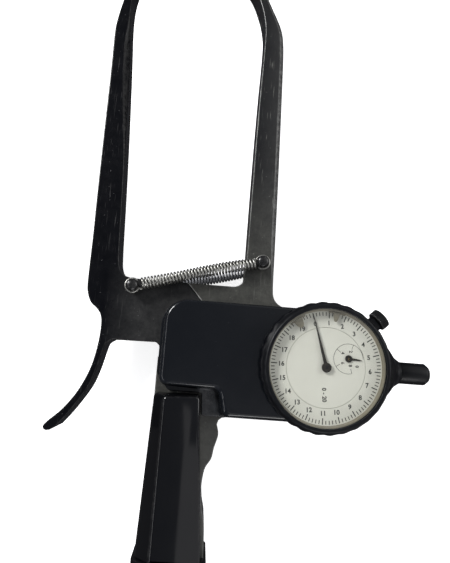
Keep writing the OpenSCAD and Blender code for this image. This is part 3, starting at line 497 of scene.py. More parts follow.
def plate(outline, z0, z1, r=0.6, r0=None, top_w=None, top_d=None, segs=4):
    """Flat plate with rounded rims. top_w and top_d widen the front rim, point by point, to a facet."""
    n = len(outline)
    r0 = r if r0 is None else r0
    w = top_w or [0.0] * n
    d = top_d or [0.0] * n
    loops, edge = [], []
    loops.append(at(inset(outline, r0 + 0.12), z0)); edge.append(0)
    for k in range(segs + 1):
        a = PI / 2 * k / segs
        loops.append(at(inset(outline, r0 * (1 - math.sin(a))), z0 + r0 * (1 - math.cos(a)))); edge.append(1 if 0 < k < segs else 0.5)
    loops.append(at(outline, z0 + r0 + 0.6)); edge.append(0)
    loops.append([(x, y, z1 - r - 0.6 - d[i]) for i, (x, y) in enumerate(outline)]); edge.append(0)
    for k in range(segs + 1):
        t = k / segs
        a = PI / 2 * t
        q = inset(outline, [r * (1 - math.cos(a)) + w[i] * t for i in range(n)])
        loops.append([(x, y, z1 - r * (1 - math.sin(a)) - d[i] * (1 - t)) for i, (x, y) in enumerate(q)]); edge.append(1 if 0 < k < segs else 0.5)
    loops.append(at(inset(outline, [r + w[i] + 0.12 for i in range(n)]), z1)); edge.append(0)
    bm = bmesh.new()
    loops_mesh(bm, loops, edge=edge)
    return bm


def prism(outline, z0, z1):
    bm = bmesh.new()
    loops_mesh(bm, [at(outline, z0), at(outline, z1)])
    bmesh.ops.recalc_face_normals(bm, faces=bm.faces)
    return bm


def circle(c, r, n=64):
    return arc(c, r, 0, 360 - 360 / n, n - 1)


def lathe(profile, n=96, closed=False, place=None, mod=None, edge=None):
    """Turns (radius, height) points in mm about Z; place is a 4x4 that takes that axis to its place."""
    bm = bmesh.new()
    layer = bm.verts.layers.float.new("edge")
    rings = []
    for k, (r, z) in enumerate(profile):
        if r < 1e-6:
            v = bm.verts.new((0, 0, z))
            rings.append([v])
        else:
            ring = []
            for i in range(n):
                a = 2 * PI * i / n
                rr = mod(a, r, z) if mod else r
                ring.append(bm.verts.new((rr * math.cos(a), rr * math.sin(a), z)))
            rings.append(ring)
        for v in rings[-1]:
            v[layer] = edge[k] if edge else 0.0
    for a, b in list(zip(rings, rings[1:])) + ([(rings[-1], rings[0])] if closed else []):
        for i in range(n):
            j = (i + 1) % n
            if len(a) == 1 and len(b) == 1:
                break
            if len(a) == 1:
                bm.faces.new((a[0], b[i], b[j]))
            elif len(b) == 1:
                bm.faces.new((a[i], b[0], a[j]))
            else:
                bm.faces.new((a[i], b[i], b[j], a[j]))
    m = (place or Matrix.Identity(4))
    for v in bm.verts:
        v.co = (m @ v.co) * MM
    bmesh.ops.recalc_face_normals(bm, faces=bm.faces)
    return bm


def along(a, r0, z):
    """Frame whose Z axis points out of the gauge at angle a, starting r0 from its centre."""
    return (Matrix.Translation((G[0], G[1], 0)) @ Matrix.Rotation(math.radians(a), 4, "Z") @ Matrix.Translation((r0, 0, z))
            @ Matrix.Rotation(PI / 2, 4, "Y"))


def temp(bm, name="tool"):
    bmesh.ops.recalc_face_normals(bm, faces=bm.faces)
    me = bpy.data.meshes.new(name)
    bm.to_mesh(me)
    bm.free()
    ob = bpy.data.objects.new(name, me)
    SC.collection.objects.link(ob)
    return ob


def combine(bm, steps, solver="EXACT"):
    """Cuts or adds solids: steps is a list of ("DIFFERENCE" or "UNION", bmesh). Returns a new bmesh."""
    ob = temp(bm, "work")
    tools = []
    for op, b in steps:
        t = temp(b)
        t.hide_render = True
        tools.append(t)
        md = ob.modifiers.new("b", "BOOLEAN")
        md.operation, md.object, md.solver = op, t, solver
    bpy.context.view_layer.update()
    dg = bpy.context.evaluated_depsgraph_get()
    me = bpy.data.meshes.new_from_object(ob.evaluated_get(dg))
    out = bmesh.new()
    out.from_mesh(me)
    for o in [ob] + tools:
        d = o.data
        bpy.data.objects.remove(o)
        bpy.data.meshes.remove(d)
    bpy.data.meshes.remove(me)
    return out


def both(a, b):
    """The part that two solids share."""
    a, b = temp(a, "a"), temp(b, "b")
    md = a.modifiers.new("i", "BOOLEAN")
    md.operation, md.object, md.solver = "INTERSECT", b, "EXACT"
    bpy.context.view_layer.update()
    me = bpy.data.meshes.new_from_object(a.evaluated_get(bpy.context.evaluated_depsgraph_get()))
    out = bmesh.new()
    out.from_mesh(me)
    for o in (a, b):
        d = o.data
        bpy.data.objects.remove(o)
        bpy.data.meshes.remove(d)
    bpy.data.meshes.remove(me)
    return out


def join(*bms):
    out = bmesh.new()
    out.verts.layers.float.new("edge")
    for b in bms:
        me = bpy.data.meshes.new("t")
        b.to_mesh(me)
        b.free()
        out.from_mesh(me)
        bpy.data.meshes.remove(me)
    return out


def smoothstep(a, b, x):
    t = max(0.0, min(1.0, (x - a) / (b - a)))
    return t * t * (3 - 2 * t)


# ------------------------------------------------------------------ arms
def build_right_arm():
    p = fixed_outline()
    w, d = [], []
    for x, y in p:
        # broad soft bevel down the outside of the arm, narrow elsewhere
        out = x > 34 - max(0, y - 150) * 0.25 and y > 22 and x > 30 - max(0, y - 165) * 0.7
        k = (smoothstep(20, 50, y) * (1 - 0.6 * smoothstep(150, 200, y))) if out else 0.0
        w.append(1.7 * k)
        d.append(1.5 * k)
    bm = plate(p, Z0, Z1, r=0.55, top_w=w, top_d=d)
    cut = prism(clean([lap_pt(BOSS + GAP), lap_top(BOSS + GAP, 40), (-60, 40), (-60, -3), (0, -3)]), ZL, Z1 + 2)
    steps = [("DIFFERENCE", prism(circle((0, 0), BOSS + GAP, 96), ZL, Z1 + 2)), ("DIFFERENCE", cut),
             ("DIFFERENCE", prism(circle((0, 0), 4.02, 48), Z0 - 1, Z1 + 1)),
             ("DIFFERENCE", prism(circle(PF, 2.51, 48), Z0 - 1, Z1 + 1))]
    for c in ((38, 11), (38, -31), (24, -31), (-5.3, -18.3), (-0.5, -46), (0.5, -86)):
        steps.append(("DIFFERENCE", prism(circle(c, 1.7, 24), Z0 - 1, Z1 + 1)))
    new_object("right_arm", combine(bm, steps), M["arm_right"], "frame", replaces=["fixed_arm"])


def build_left_arm():
    p = moving_outline()
    w, d = [], []
    for x, y in p:
        # scooped facet along the inside of the arm
        inner = y > 30 and x > -44.5 + max(0, y - 176) * 0.5 and x < -30
        k = smoothstep(78, 132, y) * (1 - smoothstep(142, 166, y)) if inner else 0.0
        w.append(2.3 * k)
        d.append(3.0 * k)
    bm = plate(p, Z0, ZM, r=0.55, top_w=w, top_d=d)
    lap = prism(lap_outline(), ZL + 0.1, ZM)
    new_object("left_arm", combine(bm, [("UNION", lap), ("DIFFERENCE", prism(circle((0, 0), 6.01, 64), Z0, Z1 + 2)),
                                        ("DIFFERENCE", prism(circle(PM, 2.51, 48), Z0 - 1, Z1 + 1))]),
               M["arm_left"], "moving_lever", replaces=["moving_arm"])


build_right_arm()
build_left_arm()


def build_jaw(name, old, body, sx):
    """Ground jaw face with chamfered rims and shallow grinding grooves."""
    x0, x1 = JAW_X + sx * 0.05, JAW_X + sx * 2.1
    bm = bmesh.new()
    loops, edge = [], []
    for x, i, e in ((x1, 0, 0), (x0 + sx * 0.55, 0, 0), (x0 + sx * 0.2, 0.12, 1), (x0 + sx * 0.05, 0.38, 1), (x0, 0.6, 0.4), (x0, 0.9, 0)):
        y0, y1, za, zb = 197 + i, 203 - i, 7.5 + i, 22.5 - i
        c = rounded([(y0, za, 0.3), (y1, za, 0.3), (y1, zb, 0.3), (y0, zb, 0.3)], 4)
        loops.append([(x, y, z) for y, z in c])
        edge.append(e)
    loops_mesh(bm, loops, edge=edge)
    new_object(name, bm, M["jaw"], body, replaces=[old])


build_jaw("right_jaw_face", "fixed_jaw_face", "frame", 1)
build_jaw("left_jaw_face", "moving_jaw_face", "moving_lever", -1)


# ------------------------------------------------------------------ spring posts and springs
def build_post(name, old, body, c, zlo):
    prof = [(0, zlo), (2.5, zlo), (2.8, zlo + 0.12), (2.9, zlo + 0.4), (2.9, zlo + 1.5), (2.75, zlo + 1.8), (2.3, zlo + 1.8), (2.3, 7.99), (2.5, 8.0), (2.5, 21.98),
            (2.3, 22.0), (2.3, 27.3), (2.35, 27.6), (2.8, 27.72), (2.9, 27.85), (2.9, 28.6)]
    prof += [(2.9 * math.cos(a), 28.65 + 1.55 * math.sin(a)) for a in [PI / 2 * k / 10 for k in range(1, 10)]]
    prof += [(0, 30.2)]
    bm = lathe(prof, 48, place=Matrix.Translation((c[0], c[1], 0)))
    new_object(name, bm, M["post"], body, replaces=[old])


build_post("right_spring_post", "fixed_spring_post", "frame", PF, 0.0)
build_post("left_spring_post", "moving_spring_post", "moving_lever", PM, 0.3)


def tube(path, r, n=10, smooth_ends=True):
    """Round wire along a path of points in mm."""
    bm = bmesh.new()
    pts = [Vector(p) for p in path]
    t_prev = (pts[1] - pts[0]).normalized()
    up = Vector((0, 0, 1))
    if abs(t_prev.dot(up)) > 0.9:
        up = Vector((1, 0, 0))
    nrm = (up - up.dot(t_prev) * t_prev).normalized()
    loops = []
    for i, p in enumerate(pts):
        a, b = pts[max(i - 1, 0)], pts[min(i + 1, len(pts) - 1)]
        t = (b - a).normalized()
        nrm = (nrm - nrm.dot(t) * t).normalized()
        bi = t.cross(nrm)
        rr = r * (0.6 if smooth_ends and i in (0, len(pts) - 1) else 1.0)
        loops.append([tuple(p + (nrm * math.cos(2 * PI * k / n) + bi * math.sin(2 * PI * k / n)) * rr) for k in range(n)])
    loops_mesh(bm, loops)
    return bm


def build_spring(name, old, z, flip, mat):
    d = Vector((PF[0] - PM[0], PF[1] - PM[1]))
    length, ang = d.length, math.atan2(d.y, d.x)
    rc, rw, turns = 2.36, 0.54, 35
    pts = []
    loop = 3.2
    for k in range(29):
        a = math.radians(30 + 300 * k / 28)
        pts.append((loop * math.cos(a), loop * math.sin(a), 0.0))
    xa, xb = 4.1, length - 4.0
    pts += [(3.2, -2.1, 0.0), (3.65, -2.38, 0.03)]
    steps = int(turns * 22)
    for k in range(steps + 1):
        t = k / steps
        a = PI + 2 * PI * turns * t
        x = xa + (xb - xa) * t
        bow = 0.35 * math.sin(PI * t) - 0.25 * math.sin(2 * PI * t)
        pts.append((x, rc * math.cos(a) + bow, rc * math.sin(a)))
    pts += [(length - 3.6, 2.38, -0.03), (length - 3.2, 2.1, 0.0)]
    for k in range(29):
        a = math.radians(150 - 300 * k / 28)
        pts.append((length + loop * math.cos(a), loop * math.sin(a), 0.0))
    ca, sa = math.cos(ang), math.sin(ang)
    world = [(PM[0] + x * ca - y * flip * sa, PM[1] + x * sa + y * flip * ca, z + q) for x, y, q in pts]
    bm = tube(world, rw, 10)
    ob = new_object(name, bm, mat, None, smooth=60)
    e = d.normalized()
    t = Vector(PM) + e * 4.2
    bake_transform(ob)
    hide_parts(old)


build_spring("front_coil_spring", "front_spring", ZF, 1, M["spring"])
# the rear spring takes the shaded copy of the wire, painted shade
build_spring("rear_coil_spring", "rear_spring", ZR, -1, M["spring_dull"])


# ------------------------------------------------------------------ housing
def stack(profile, outline, cap0=True, cap1=True):
    loops, edge = [], []
    for d, z, e in profile:
        loops.append(at(outline(d), z))
        edge.append(e)
    bm = bmesh.new()
    loops_mesh(bm, loops, cap0=cap0, cap1=cap1, edge=edge)
    return bm


def build_front_cover():
    # raised middle: a soft foot where it meets the flange, wide at the step beside the handle, and a broad round at the top
    ring = plateau(0)[::-1]
    wide = []
    for x, y in ring:
        step = smoothstep(11, 15, x) * smoothstep(-21, -27, y) * smoothstep(-35.2, -32.4, y) * (1 if x < 24 else 0)
        wide.append(0.3 + 0.4 * smoothstep(12, 4, y) + 2.1 * step)
    loops, edge = [at(inset(ring, [-w for w in wide]), 22.3)], [0]
    for k in range(10):
        t = PI / 2 * k / 9
        foot = inset(ring, [-w * (1 - math.sin(t)) for w in wide])
        loops.append([(x, y, 23.99 + (0.6 + 1.4 * w) * (1 - math.cos(t))) for (x, y), w in zip(foot, wide)])
        edge.append(0)
    for d, z, e in ((0.12, 31.0, 0), (0.2, 32.4, 0.1), (0.32, 33.2, 0.3), (0.6, 34.0, 0.7), (1.05, 34.6, 1), (1.6, 34.9, 1), (2.2, 35.0, 0.4), (2.3, 35.0, 0)):
        loops.append(at(plateau(d)[::-1], z))
        edge.append(e)
    bm = bmesh.new()
    loops_mesh(bm, loops, edge=edge)
    skin = clean(rounded(FLANGE), 0.01)
    loops, edge = [], []
    for d, z, e in ((0.3, 22.0, 0), (0.02, 22.2, 0), (0.0, 23.35, 0), (0.08, 23.65, 0.8), (0.25, 23.87, 1), (0.42, 23.97, 0.7), (0.46, 24.0, 0)):
        loops.append(at(inset(skin, d), z))
        edge.append(e)
    flange = bmesh.new()
    loops_mesh(flange, loops, edge=edge)
    hollow = prism(clean(plateau(1.2, 70)), 21.5, 33.8)
    recess = prism(circle(G, 27.9, 128), 15, 60)
    stem = lathe([(0, 0), (4.4, 0), (4.4, 20), (0, 20)], 48, place=Matrix.Translation((30, G[1], ZS)) @ Matrix.Rotation(PI / 2, 4, "Y"))
    inner = combine(hollow, [("DIFFERENCE", prism(circle(G, 29.1, 128), 10, 70))])
    bm = combine(bm, [("UNION", flange), ("DIFFERENCE", inner), ("DIFFERENCE", recess), ("DIFFERENCE", stem)], "MANIFOLD")
    new_object("housing_shell", bm, M["housing"], "frame", replaces=["front_cover"])


build_front_cover()


def build_rear_cover():
    prof = [(1.0, 7.98, 0), (1.0, 2.6, 0), (1.1, 1.7, 0.4), (1.45, 0.8, 1), (2.1, 0.25, 1), (3.0, 0.0, 0.4), (3.8, 0.0, 0)]
    bm = stack(prof, lambda d: housing(d, 51.5 - d))
    hollow = prism(clean(housing(2.7, 48.8)), 1.8, 9)
    for c in ((38, 11), (38, -31), (24, -31), (-5.3, -18.3)):
        hollow = combine(hollow, [("DIFFERENCE", prism(circle(c, 4.0, 32), 0, 10))])
    steps = [("DIFFERENCE", hollow)]
    for c in ((38, 11), (38, -31), (24, -31), (-5.3, -18.3)):
        steps += [("DIFFERENCE", prism(circle(c, 1.7, 24), -1, 10)), ("DIFFERENCE", prism(circle(c, 2.95, 32), -1, 2.6))]
    new_object("rear_shell", combine(bm, steps), M["housing"], "frame", replaces=["rear_cover"])


build_rear_cover()


# ------------------------------------------------------------------ handle
def build_front_grip():
    low = [(-11.7, -27.2, 2), (9.4, -26.7, 1.5), (15.6, -98.4, 0.5), (-13.9, -98.4, 0.5)]
    top = [(-6.9, -28.2, 2), (9.1, -27.2, 1.5), (15.2, -98.4, 0.5), (-7.0, -98.4, 0.5)]

    def mix(s):
        return [tuple(a + (b - a) * s for a, b in zip(p, q)) for p, q in zip(low, top)]

    loops, edge = [], []
    for s, i, z, e in ((0, 0.25, 22.02, 0), (0, 0, 22.2, 0), (0, 0, 25.2, 0), (0.02, 0, 25.9, 0.3), (0.08, 0, 26.6, 0.5), (0.16, 0, 27.4, 0.2), (0.86, 0, 31.75, 0.2),
                       (0.93, 0, 32.2, 0.8), (1.0, 0.05, 32.6, 1), (1.0, 0.35, 32.87, 1), (1.0, 0.75, 32.98, 0.5), (1.0, 1.3, 33.0, 0)):
        c = rounded(mix(s))
        c = clean(c, 0)
        loops.append(at(inset(c, i), z))
        edge.append(e)
    bm = bmesh.new()
    loops_mesh(bm, loops, edge=edge)
    new_object("handle_face", bm, M["grip"], "frame", replaces=["front_grip"])


def build_rear_grip():
    p = clean(rounded([(-11.9, -27.6, 1.6), (8.8, -27.2, 1.6), (10.6, -34, 2), (15, -38.6, 2), (19.1, -44.6, 2.2), (17.9, -50.8, 3), (17, -55.7, 3), (14.6, -59.8, 3),
                       (13.7, -64.3, 4), (13.5, -70, 5), (14.4, -77.9, 5), (15.8, -83.4, 5), (16.5, -92, 0), (16.8, -98.4, 0), (-14.1, -98.4, 0), (-13.3, -78, 0),
                       (-12.6, -50, 0)], 6), 0.05)
    steps = []
    for c in ((-0.5, -46), (0.5, -86)):
        steps += [("DIFFERENCE", prism(circle(c, 1.7, 24), -1, 10)), ("DIFFERENCE", prism(circle(c, 3.05, 32), -1, 2.6))]
    bm = combine(plate(p, 0.0, 7.98, r=0.15, r0=1.2, segs=5), steps)
    new_object("handle_back", bm, M["grip"], "frame", replaces=["rear_grip"])


def build_end_cap():
    def section(d):
        z1, gh = Z1, 11
        return rounded([(-15.2 + d, 0.4 + d, 2.4), (18 - d, 0.4 + d, 2.4), (18 - d, z1 + 4, 3), (16 - d, z1 + gh + 0.4 - d, 1.5),
                        (-8 + d, z1 + gh + 0.4 - d, 3), (-15.2 + d, z1 + 5 - d, 3)], 6)

    loops, edge = [], []
    for d, y, e in ((0.35, -98.62, 0), (0.0, -98.95, 1), (0, -99.6, 0), (0, -106.2, 0), (0.15, -107.6, 0.3), (0.55, -109.1, 0.6), (1.2, -110.3, 1), (1.9, -110.85, 1), (2.4, -111.0, 0.4),
                    (3.2, -111.0, 0)):
        loops.append([(x, y, z) for x, z in section(d)])
        edge.append(e)
    bm = bmesh.new()
    loops_mesh(bm, loops, edge=edge)
    pocket = bmesh.new()
    c = [(-14.6, 7.95), (17.2, 7.95), (17.2, 22.05), (-14.6, 22.05)]
    loops_mesh(pocket, [[(x, -95, z) for x, z in c], [(x, -105.1, z) for x, z in c]])
    turn = Matrix.Translation((1.3, -90, ZL)) @ Matrix.Rotation(PI / 2, 4, "X")
    bore = lathe([(0, 0), (1.7, 0), (1.7, 40), (0, 40)], 32, place=turn)
    sink = lathe([(0, 18.6), (3.0, 18.6), (3.0, 40), (0, 40)], 40, place=turn)
    new_object("handle_cap", combine(bm, [("DIFFERENCE", pocket), ("DIFFERENCE", bore), ("DIFFERENCE", sink)]), M["grip"], "frame",
               replaces=["end_cap"])


build_front_grip()
build_rear_grip()
build_end_cap()

# ------------------------------------------------------------------ gauge
GM = Matrix.Translation((G[0], G[1], 0))


def build_case():
    z1 = Z1
    prof = [(26.0, ZG + 1.5), (27.0, ZG + 1.5), (27.35, ZG + 1.65), (27.5, ZG + 2.0), (27.5, z1 + 14.0), (27.35, z1 + 14.35), (27.1, z1 + 14.5), (26.0, z1 + 14.6),
            (26.0, z1 + 17.4), (24.8, z1 + 17.4), (24.8, z1 + 14), (21.6, z1 + 14), (21.6, z1 + 12.8), (26, z1 + 12.8)]
    edge = [0, 0.4, 1, 0.4, 0.4, 1, 0.4, 0, 0, 0, 0, 0, 0, 0]
    bm = lathe(prof, 160, closed=True, place=GM, edge=edge)
    horn = curve([(24, 17.5), (27, 15.2), (29, 13.2), (30.5, 11.6), (32, 9.8), (33.2, 8.2), (34.4, 7.0), (35.6, 6.1), (36.4, 5.62), (36.9, 5.32)], 3)
    boss = lathe([(0, 24)] + [(r, x) for x, r in horn] + [(5.2, 36.98), (4.9, 37.0), (0, 37.0)], 96, place=along(0, 0, ZS),
                 edge=[0] * (len(horn) - 3) + [0.3, 0.6, 1, 1, 0.8, 0, 0])
    boss = combine(boss, [("DIFFERENCE", prism(circle(G, 26.6, 128), 0, 60))])
    boss = both(boss, prism([(G[0], -40), (G[0] + 60, -40), (G[0] + 60, 20), (G[0], 20)], ZG + 1.52, Z1 + 14.45))
    neck = lathe([(0, 0), (3.98, 0), (3.98, 1.6), (0, 1.6)], 48, place=along(0, 36, ZS))
    slab = [(G[0] - 40, -50), (G[0] + 40, -50), (G[0] + 40, 30), (G[0] - 40, 30)]
    stem = both(lathe([(0, 0), (5.0, 0), (5.0, 0.8), (0, 0.8)], 48, place=along(180, 26.4, ZS)), prism(slab, ZG + 1.55, Z1 + 14.4))
    knob = both(lathe([(0, 0), (3.5, 0), (3.5, 5.5), (3.3, 5.9), (0, 5.9)], 48, place=along(42.9, 26.4, Z1 + 11.8)), prism(slab, ZG + 1.6, Z1 + 14.35))
    steps = [("UNION", boss), ("UNION", neck), ("UNION", stem), ("UNION", knob),
             ("DIFFERENCE", lathe([(0, 0), (4.01, 0), (4.01, 20), (0, 20)], 48, place=along(180, 20, ZS))),
             ("DIFFERENCE", lathe([(0, 0), (2.05, 0), (2.05, 20), (0, 20)], 48, place=along(0, 20, ZS))),
             ("DIFFERENCE", lathe([(0, 0), (1.55, 0), (1.55, 20), (0, 20)], 32, place=along(42.9, 20, Z1 + 11.8)))]
    new_object("gauge_body", combine(bm, steps), M["case"], "frame", replaces=["gauge_case"])


build_case()


def build_cap():
    prof = [(0, 11.5), (4.0, 11.5), (4.0, 0.0), (4.85, 0.0), (4.95, 0.06), (5.0, 0.18), (5.0, 11.8), (4.96, 12.05), (4.85, 12.25), (3.8, 13.55), (3.55, 13.83), (3.2, 13.9), (0, 13.9)]
    edge = [0, 0, 0, 0.5, 1, 0.4, 0, 0.6, 1, 0.6, 1, 0.4, 0]
    new_object("stem_cap", lathe(prof, 72, place=along(0, 37.12, ZS), edge=edge), M["cap"], "frame", replaces=["dust_cap"])


build_cap()

SCALLOPS = 30


def build_bezel():
    z = Z1
    R = 29.2

    def scallop(a, r, h):
        if r < 28.4:
            return r
        k = 0.5 + 0.5 * math.cos(SCALLOPS * a)
        depth = smoothstep(28.3, R, r) * smoothstep(z + 21.6, z + 19.0, h)
        return r - 0.45 * (1 - k ** 0.6) * depth

    prof = [(26.1, z + 14.9), (28.4, z + 14.9), (28.75, z + 14.98), (29.05, z + 15.25), (29.2, z + 15.7), (29.2, z + 17.2), (29.2, z + 18.7), (29.14, z + 19.2), (28.95, z + 19.8),
            (28.65, z + 20.5), (28.3, z + 21.2), (27.95, z + 22.0), (27.75, z + 22.4), (27.5, z + 22.75), (27.2, z + 22.95), (26.9, z + 23.0), (26.1, z + 23.0), (25.93, z + 22.94),
            (25.85, z + 22.8), (25.85, z + 22.42), (27.0, z + 22.42), (27.0, z + 21.0), (25.9, z + 21.0), (26.4, z + 18.5), (26.4, z + 17.7), (26.1, z + 17.7)]
    edge = [0, 0, 0.5, 1, 0.5, 0, 0, 0.5, 1, 0.5, 0.2, 0.4, 0.7, 0.7, 0.4, 0.2, 0.5, 0.9, 0.5, 0, 0, 0, 0, 0, 0, 0]
    bm = lathe(prof, SCALLOPS * 12, closed=True, place=GM, mod=scallop, edge=edge)
    new_object("bezel_rim", bm, M["case"], "bezel_ring", replaces=["bezel"], smooth=40)
    ring = lathe([(26.3, z + 18.5), (25.88, z + 20.98), (25.55, z + 20.98), (25.42, z + 20.9), (25.05, z + 19.2), (24.96, z + 18.7), (25.1, z + 18.42)], 144, closed=True, place=GM,
                 edge=[0, 0, 1, 0.8, 0.1, 0.4, 0.5])
    new_object("bezel_inner_ring", ring, M["rehaut"], "bezel_ring", smooth=40)


build_bezel()


def build_crystal():
    z = Z1
    prof = [(0, z + 21.02), (26.8, z + 21.02), (26.95, z + 21.1), (26.95, z + 22.3), (26.85, z + 22.38), (25.6, z + 22.38), (25.2, z + 22.40), (12, z + 22.42), (0, z + 22.42)]
    new_object("crystal_disc", lathe(prof, 96, place=GM), M["glass"], "bezel_ring", replaces=["crystal"])


build_crystal()


def ring_prof(r0, r1, z0, z1, c=0.08):
    return [(r0, z0), (r1, z0), (r1, z1 - c), (r1 - c, z1), (r0 + c, z1), (r0, z1 - c)]


def build_dial():
    new_object("scale_disc", lathe(ring_prof(17.8, 26.2, ZD, ZD + 0.6), 144, closed=True, place=GM), M["dial"], "bezel_ring", replaces=["scale_ring"])
    disc = lathe([(1.1, ZD), (17.55, ZD), (17.55, ZD + 0.52), (17.47, ZD + 0.6), (1.15, ZD + 0.6), (1.1, ZD + 0.55)], 144, closed=True, place=GM)
    c = (C[0], C[1])
    disc = combine(disc, [("DIFFERENCE", prism(circle(c, 0.9, 24), ZD - 1, ZD + 2))])
    for a in (100, 280):
        q = (G[0] + 14 * math.cos(math.radians(a)), G[1] + 14 * math.sin(math.radians(a)))
        disc = join(disc, prism(circle(q, 0.9, 24), Z1 + 15.14, ZD))
    new_object("centre_disc", disc, M["dial"], "frame", replaces=["dial_plate"])


CD, CA = 10.8, 24.7
C = (G[0] + CD * math.cos(math.radians(CA)), G[1] + CD * math.sin(math.radians(CA)))
build_dial()

PRINT_H = 0.03


def bar(bm, c, a, r0, r1, w, z):
    """Printed tick from radius r0 to r1 at angle a degrees about c."""
    u = Vector((math.cos(math.radians(a)), math.sin(math.radians(a))))
    v = Vector((-u.y, u.x)) * w / 2
    q = [Vector(c) + u * r0 - v, Vector(c) + u * r1 - v, Vector(c) + u * r1 + v, Vector(c) + u * r0 + v]
    loops_mesh(bm, [[(p.x, p.y, z) for p in q], [(p.x, p.y, z + PRINT_H) for p in q]])


def arc_band(bm, c, r, w, a0, a1, z, n=64):
    inner, outer = arc(c, r - w / 2, a0, a1, n), arc(c, r + w / 2, a0, a1, n)
    if abs(a1 - a0) >= 359.9:
        inner, outer = inner[:-1], outer[:-1]
        a = lathe([(r - w / 2, z), (r + w / 2, z), (r + w / 2, z + PRINT_H), (r - w / 2, z + PRINT_H)], n * 2, closed=True, place=Matrix.Translation((c[0], c[1], 0)))
        me = bpy.data.meshes.new("t")
        a.to_mesh(me)
        a.free()
        bm.from_mesh(me)
        return
    q = outer + inner[::-1]
    loops_mesh(bm, [at(q, z), at(q, z + PRINT_H)])


def word(bm, text, place, size, turn, z, thin=0.028):
    """Generic dial lettering as a raised print of no thickness to speak of."""
    cu = bpy.data.curves.new("w", "FONT")
    cu.body = text
    cu.size = size
    cu.align_x, cu.align_y = "CENTER", "CENTER"
    cu.offset = thin * size
    cu.resolution_u = 3
    cu.extrude = PRINT_H / 2
    ob = bpy.data.objects.new("w", cu)
    SC.collection.objects.link(ob)
    bpy.context.view_layer.update()
    me = bpy.data.meshes.new_from_object(ob.evaluated_get(bpy.context.evaluated_depsgraph_get()))
    xs = [v.co.x for v in me.vertices]
    ys = [v.co.y for v in me.vertices]
    mid = Vector(((min(xs) + max(xs)) / 2, (min(ys) + max(ys)) / 2, 0))
    m = Matrix.Translation((place[0], place[1], z + PRINT_H / 2)) @ Matrix.Rotation(math.radians(turn), 4, "Z") @ Matrix.Translation(-mid)
    me.transform(m)
    me.transform(Matrix.Scale(MM, 4))
    bm.from_mesh(me)
    bpy.data.objects.remove(ob)
    bpy.data.meshes.remove(me)


ZERO = 106.9  # direction of the scale's zero, in degrees from +X
UP = 94.7     # direction in which the figures stand
ZP = ZD + 0.6 + 0.001


def build_print():
    fine = bmesh.new()
    for i in range(100):
        a = ZERO - 3.6 * i
        if i % 5 == 0:
            bar(fine, G, a, 21.8, 24.55, 0.44, ZP)
        else:
            bar(fine, G, a, 22.85, 24.5, 0.38, ZP)
    figs = bmesh.new()
    for i in range(20):
        a = math.radians(ZERO - 18 * i)
        word(figs, str(i), (G[0] + 19.75 * math.cos(a), G[1] + 19.75 * math.sin(a)), 2.85, UP - 90, ZP)
    new_object("scale_ticks", fine, M["print"], "bezel_ring", smooth=30)
    new_object("scale_figures", figs, M["print"], "bezel_ring", smooth=30)
    sub = bmesh.new()
    r = 6.6
    arc_band(sub, C, r, 0.17, 0.9, 285.7, ZP, 80)
    for k in range(5):
        a = 0.9 + 71.2 * k
        if k:
            bar(sub, C, a, r - 2.1, r, 0.19, ZP)
    new_object("counter_scale", sub, M["print"], "frame", smooth=30)
    cnt = bmesh.new()
    for s, a, rr in (("2", 73, 3.4), ("4", 137, 3.5), ("6", 220, 3.2), ("8", 289, 3.1)):
        word(cnt, s, (C[0] + rr * math.cos(math.radians(a)), C[1] + rr * math.sin(math.radians(a))), 2.05, UP - 180, ZP)
    word(cnt, "0", (C[0] + 5.1 * math.cos(math.radians(-38)), C[1] + 5.1 * math.sin(math.radians(-38))), 2.05, UP - 180, ZP)
    word(cnt, "0 - 20", (G[0] - 0.2, G[1] - 11.9), 2.6, UP - 180, ZP)
    new_object("counter_figures", cnt, M["print"], "frame", smooth=30)
    gap = lathe(ring_prof(17.56, 17.79, ZD + 0.1, ZD + 0.5, 0.02), 144, closed=True, place=GM)
    new_object("scale_gap", gap, M["print_thin"], "frame", smooth=30)


build_print()


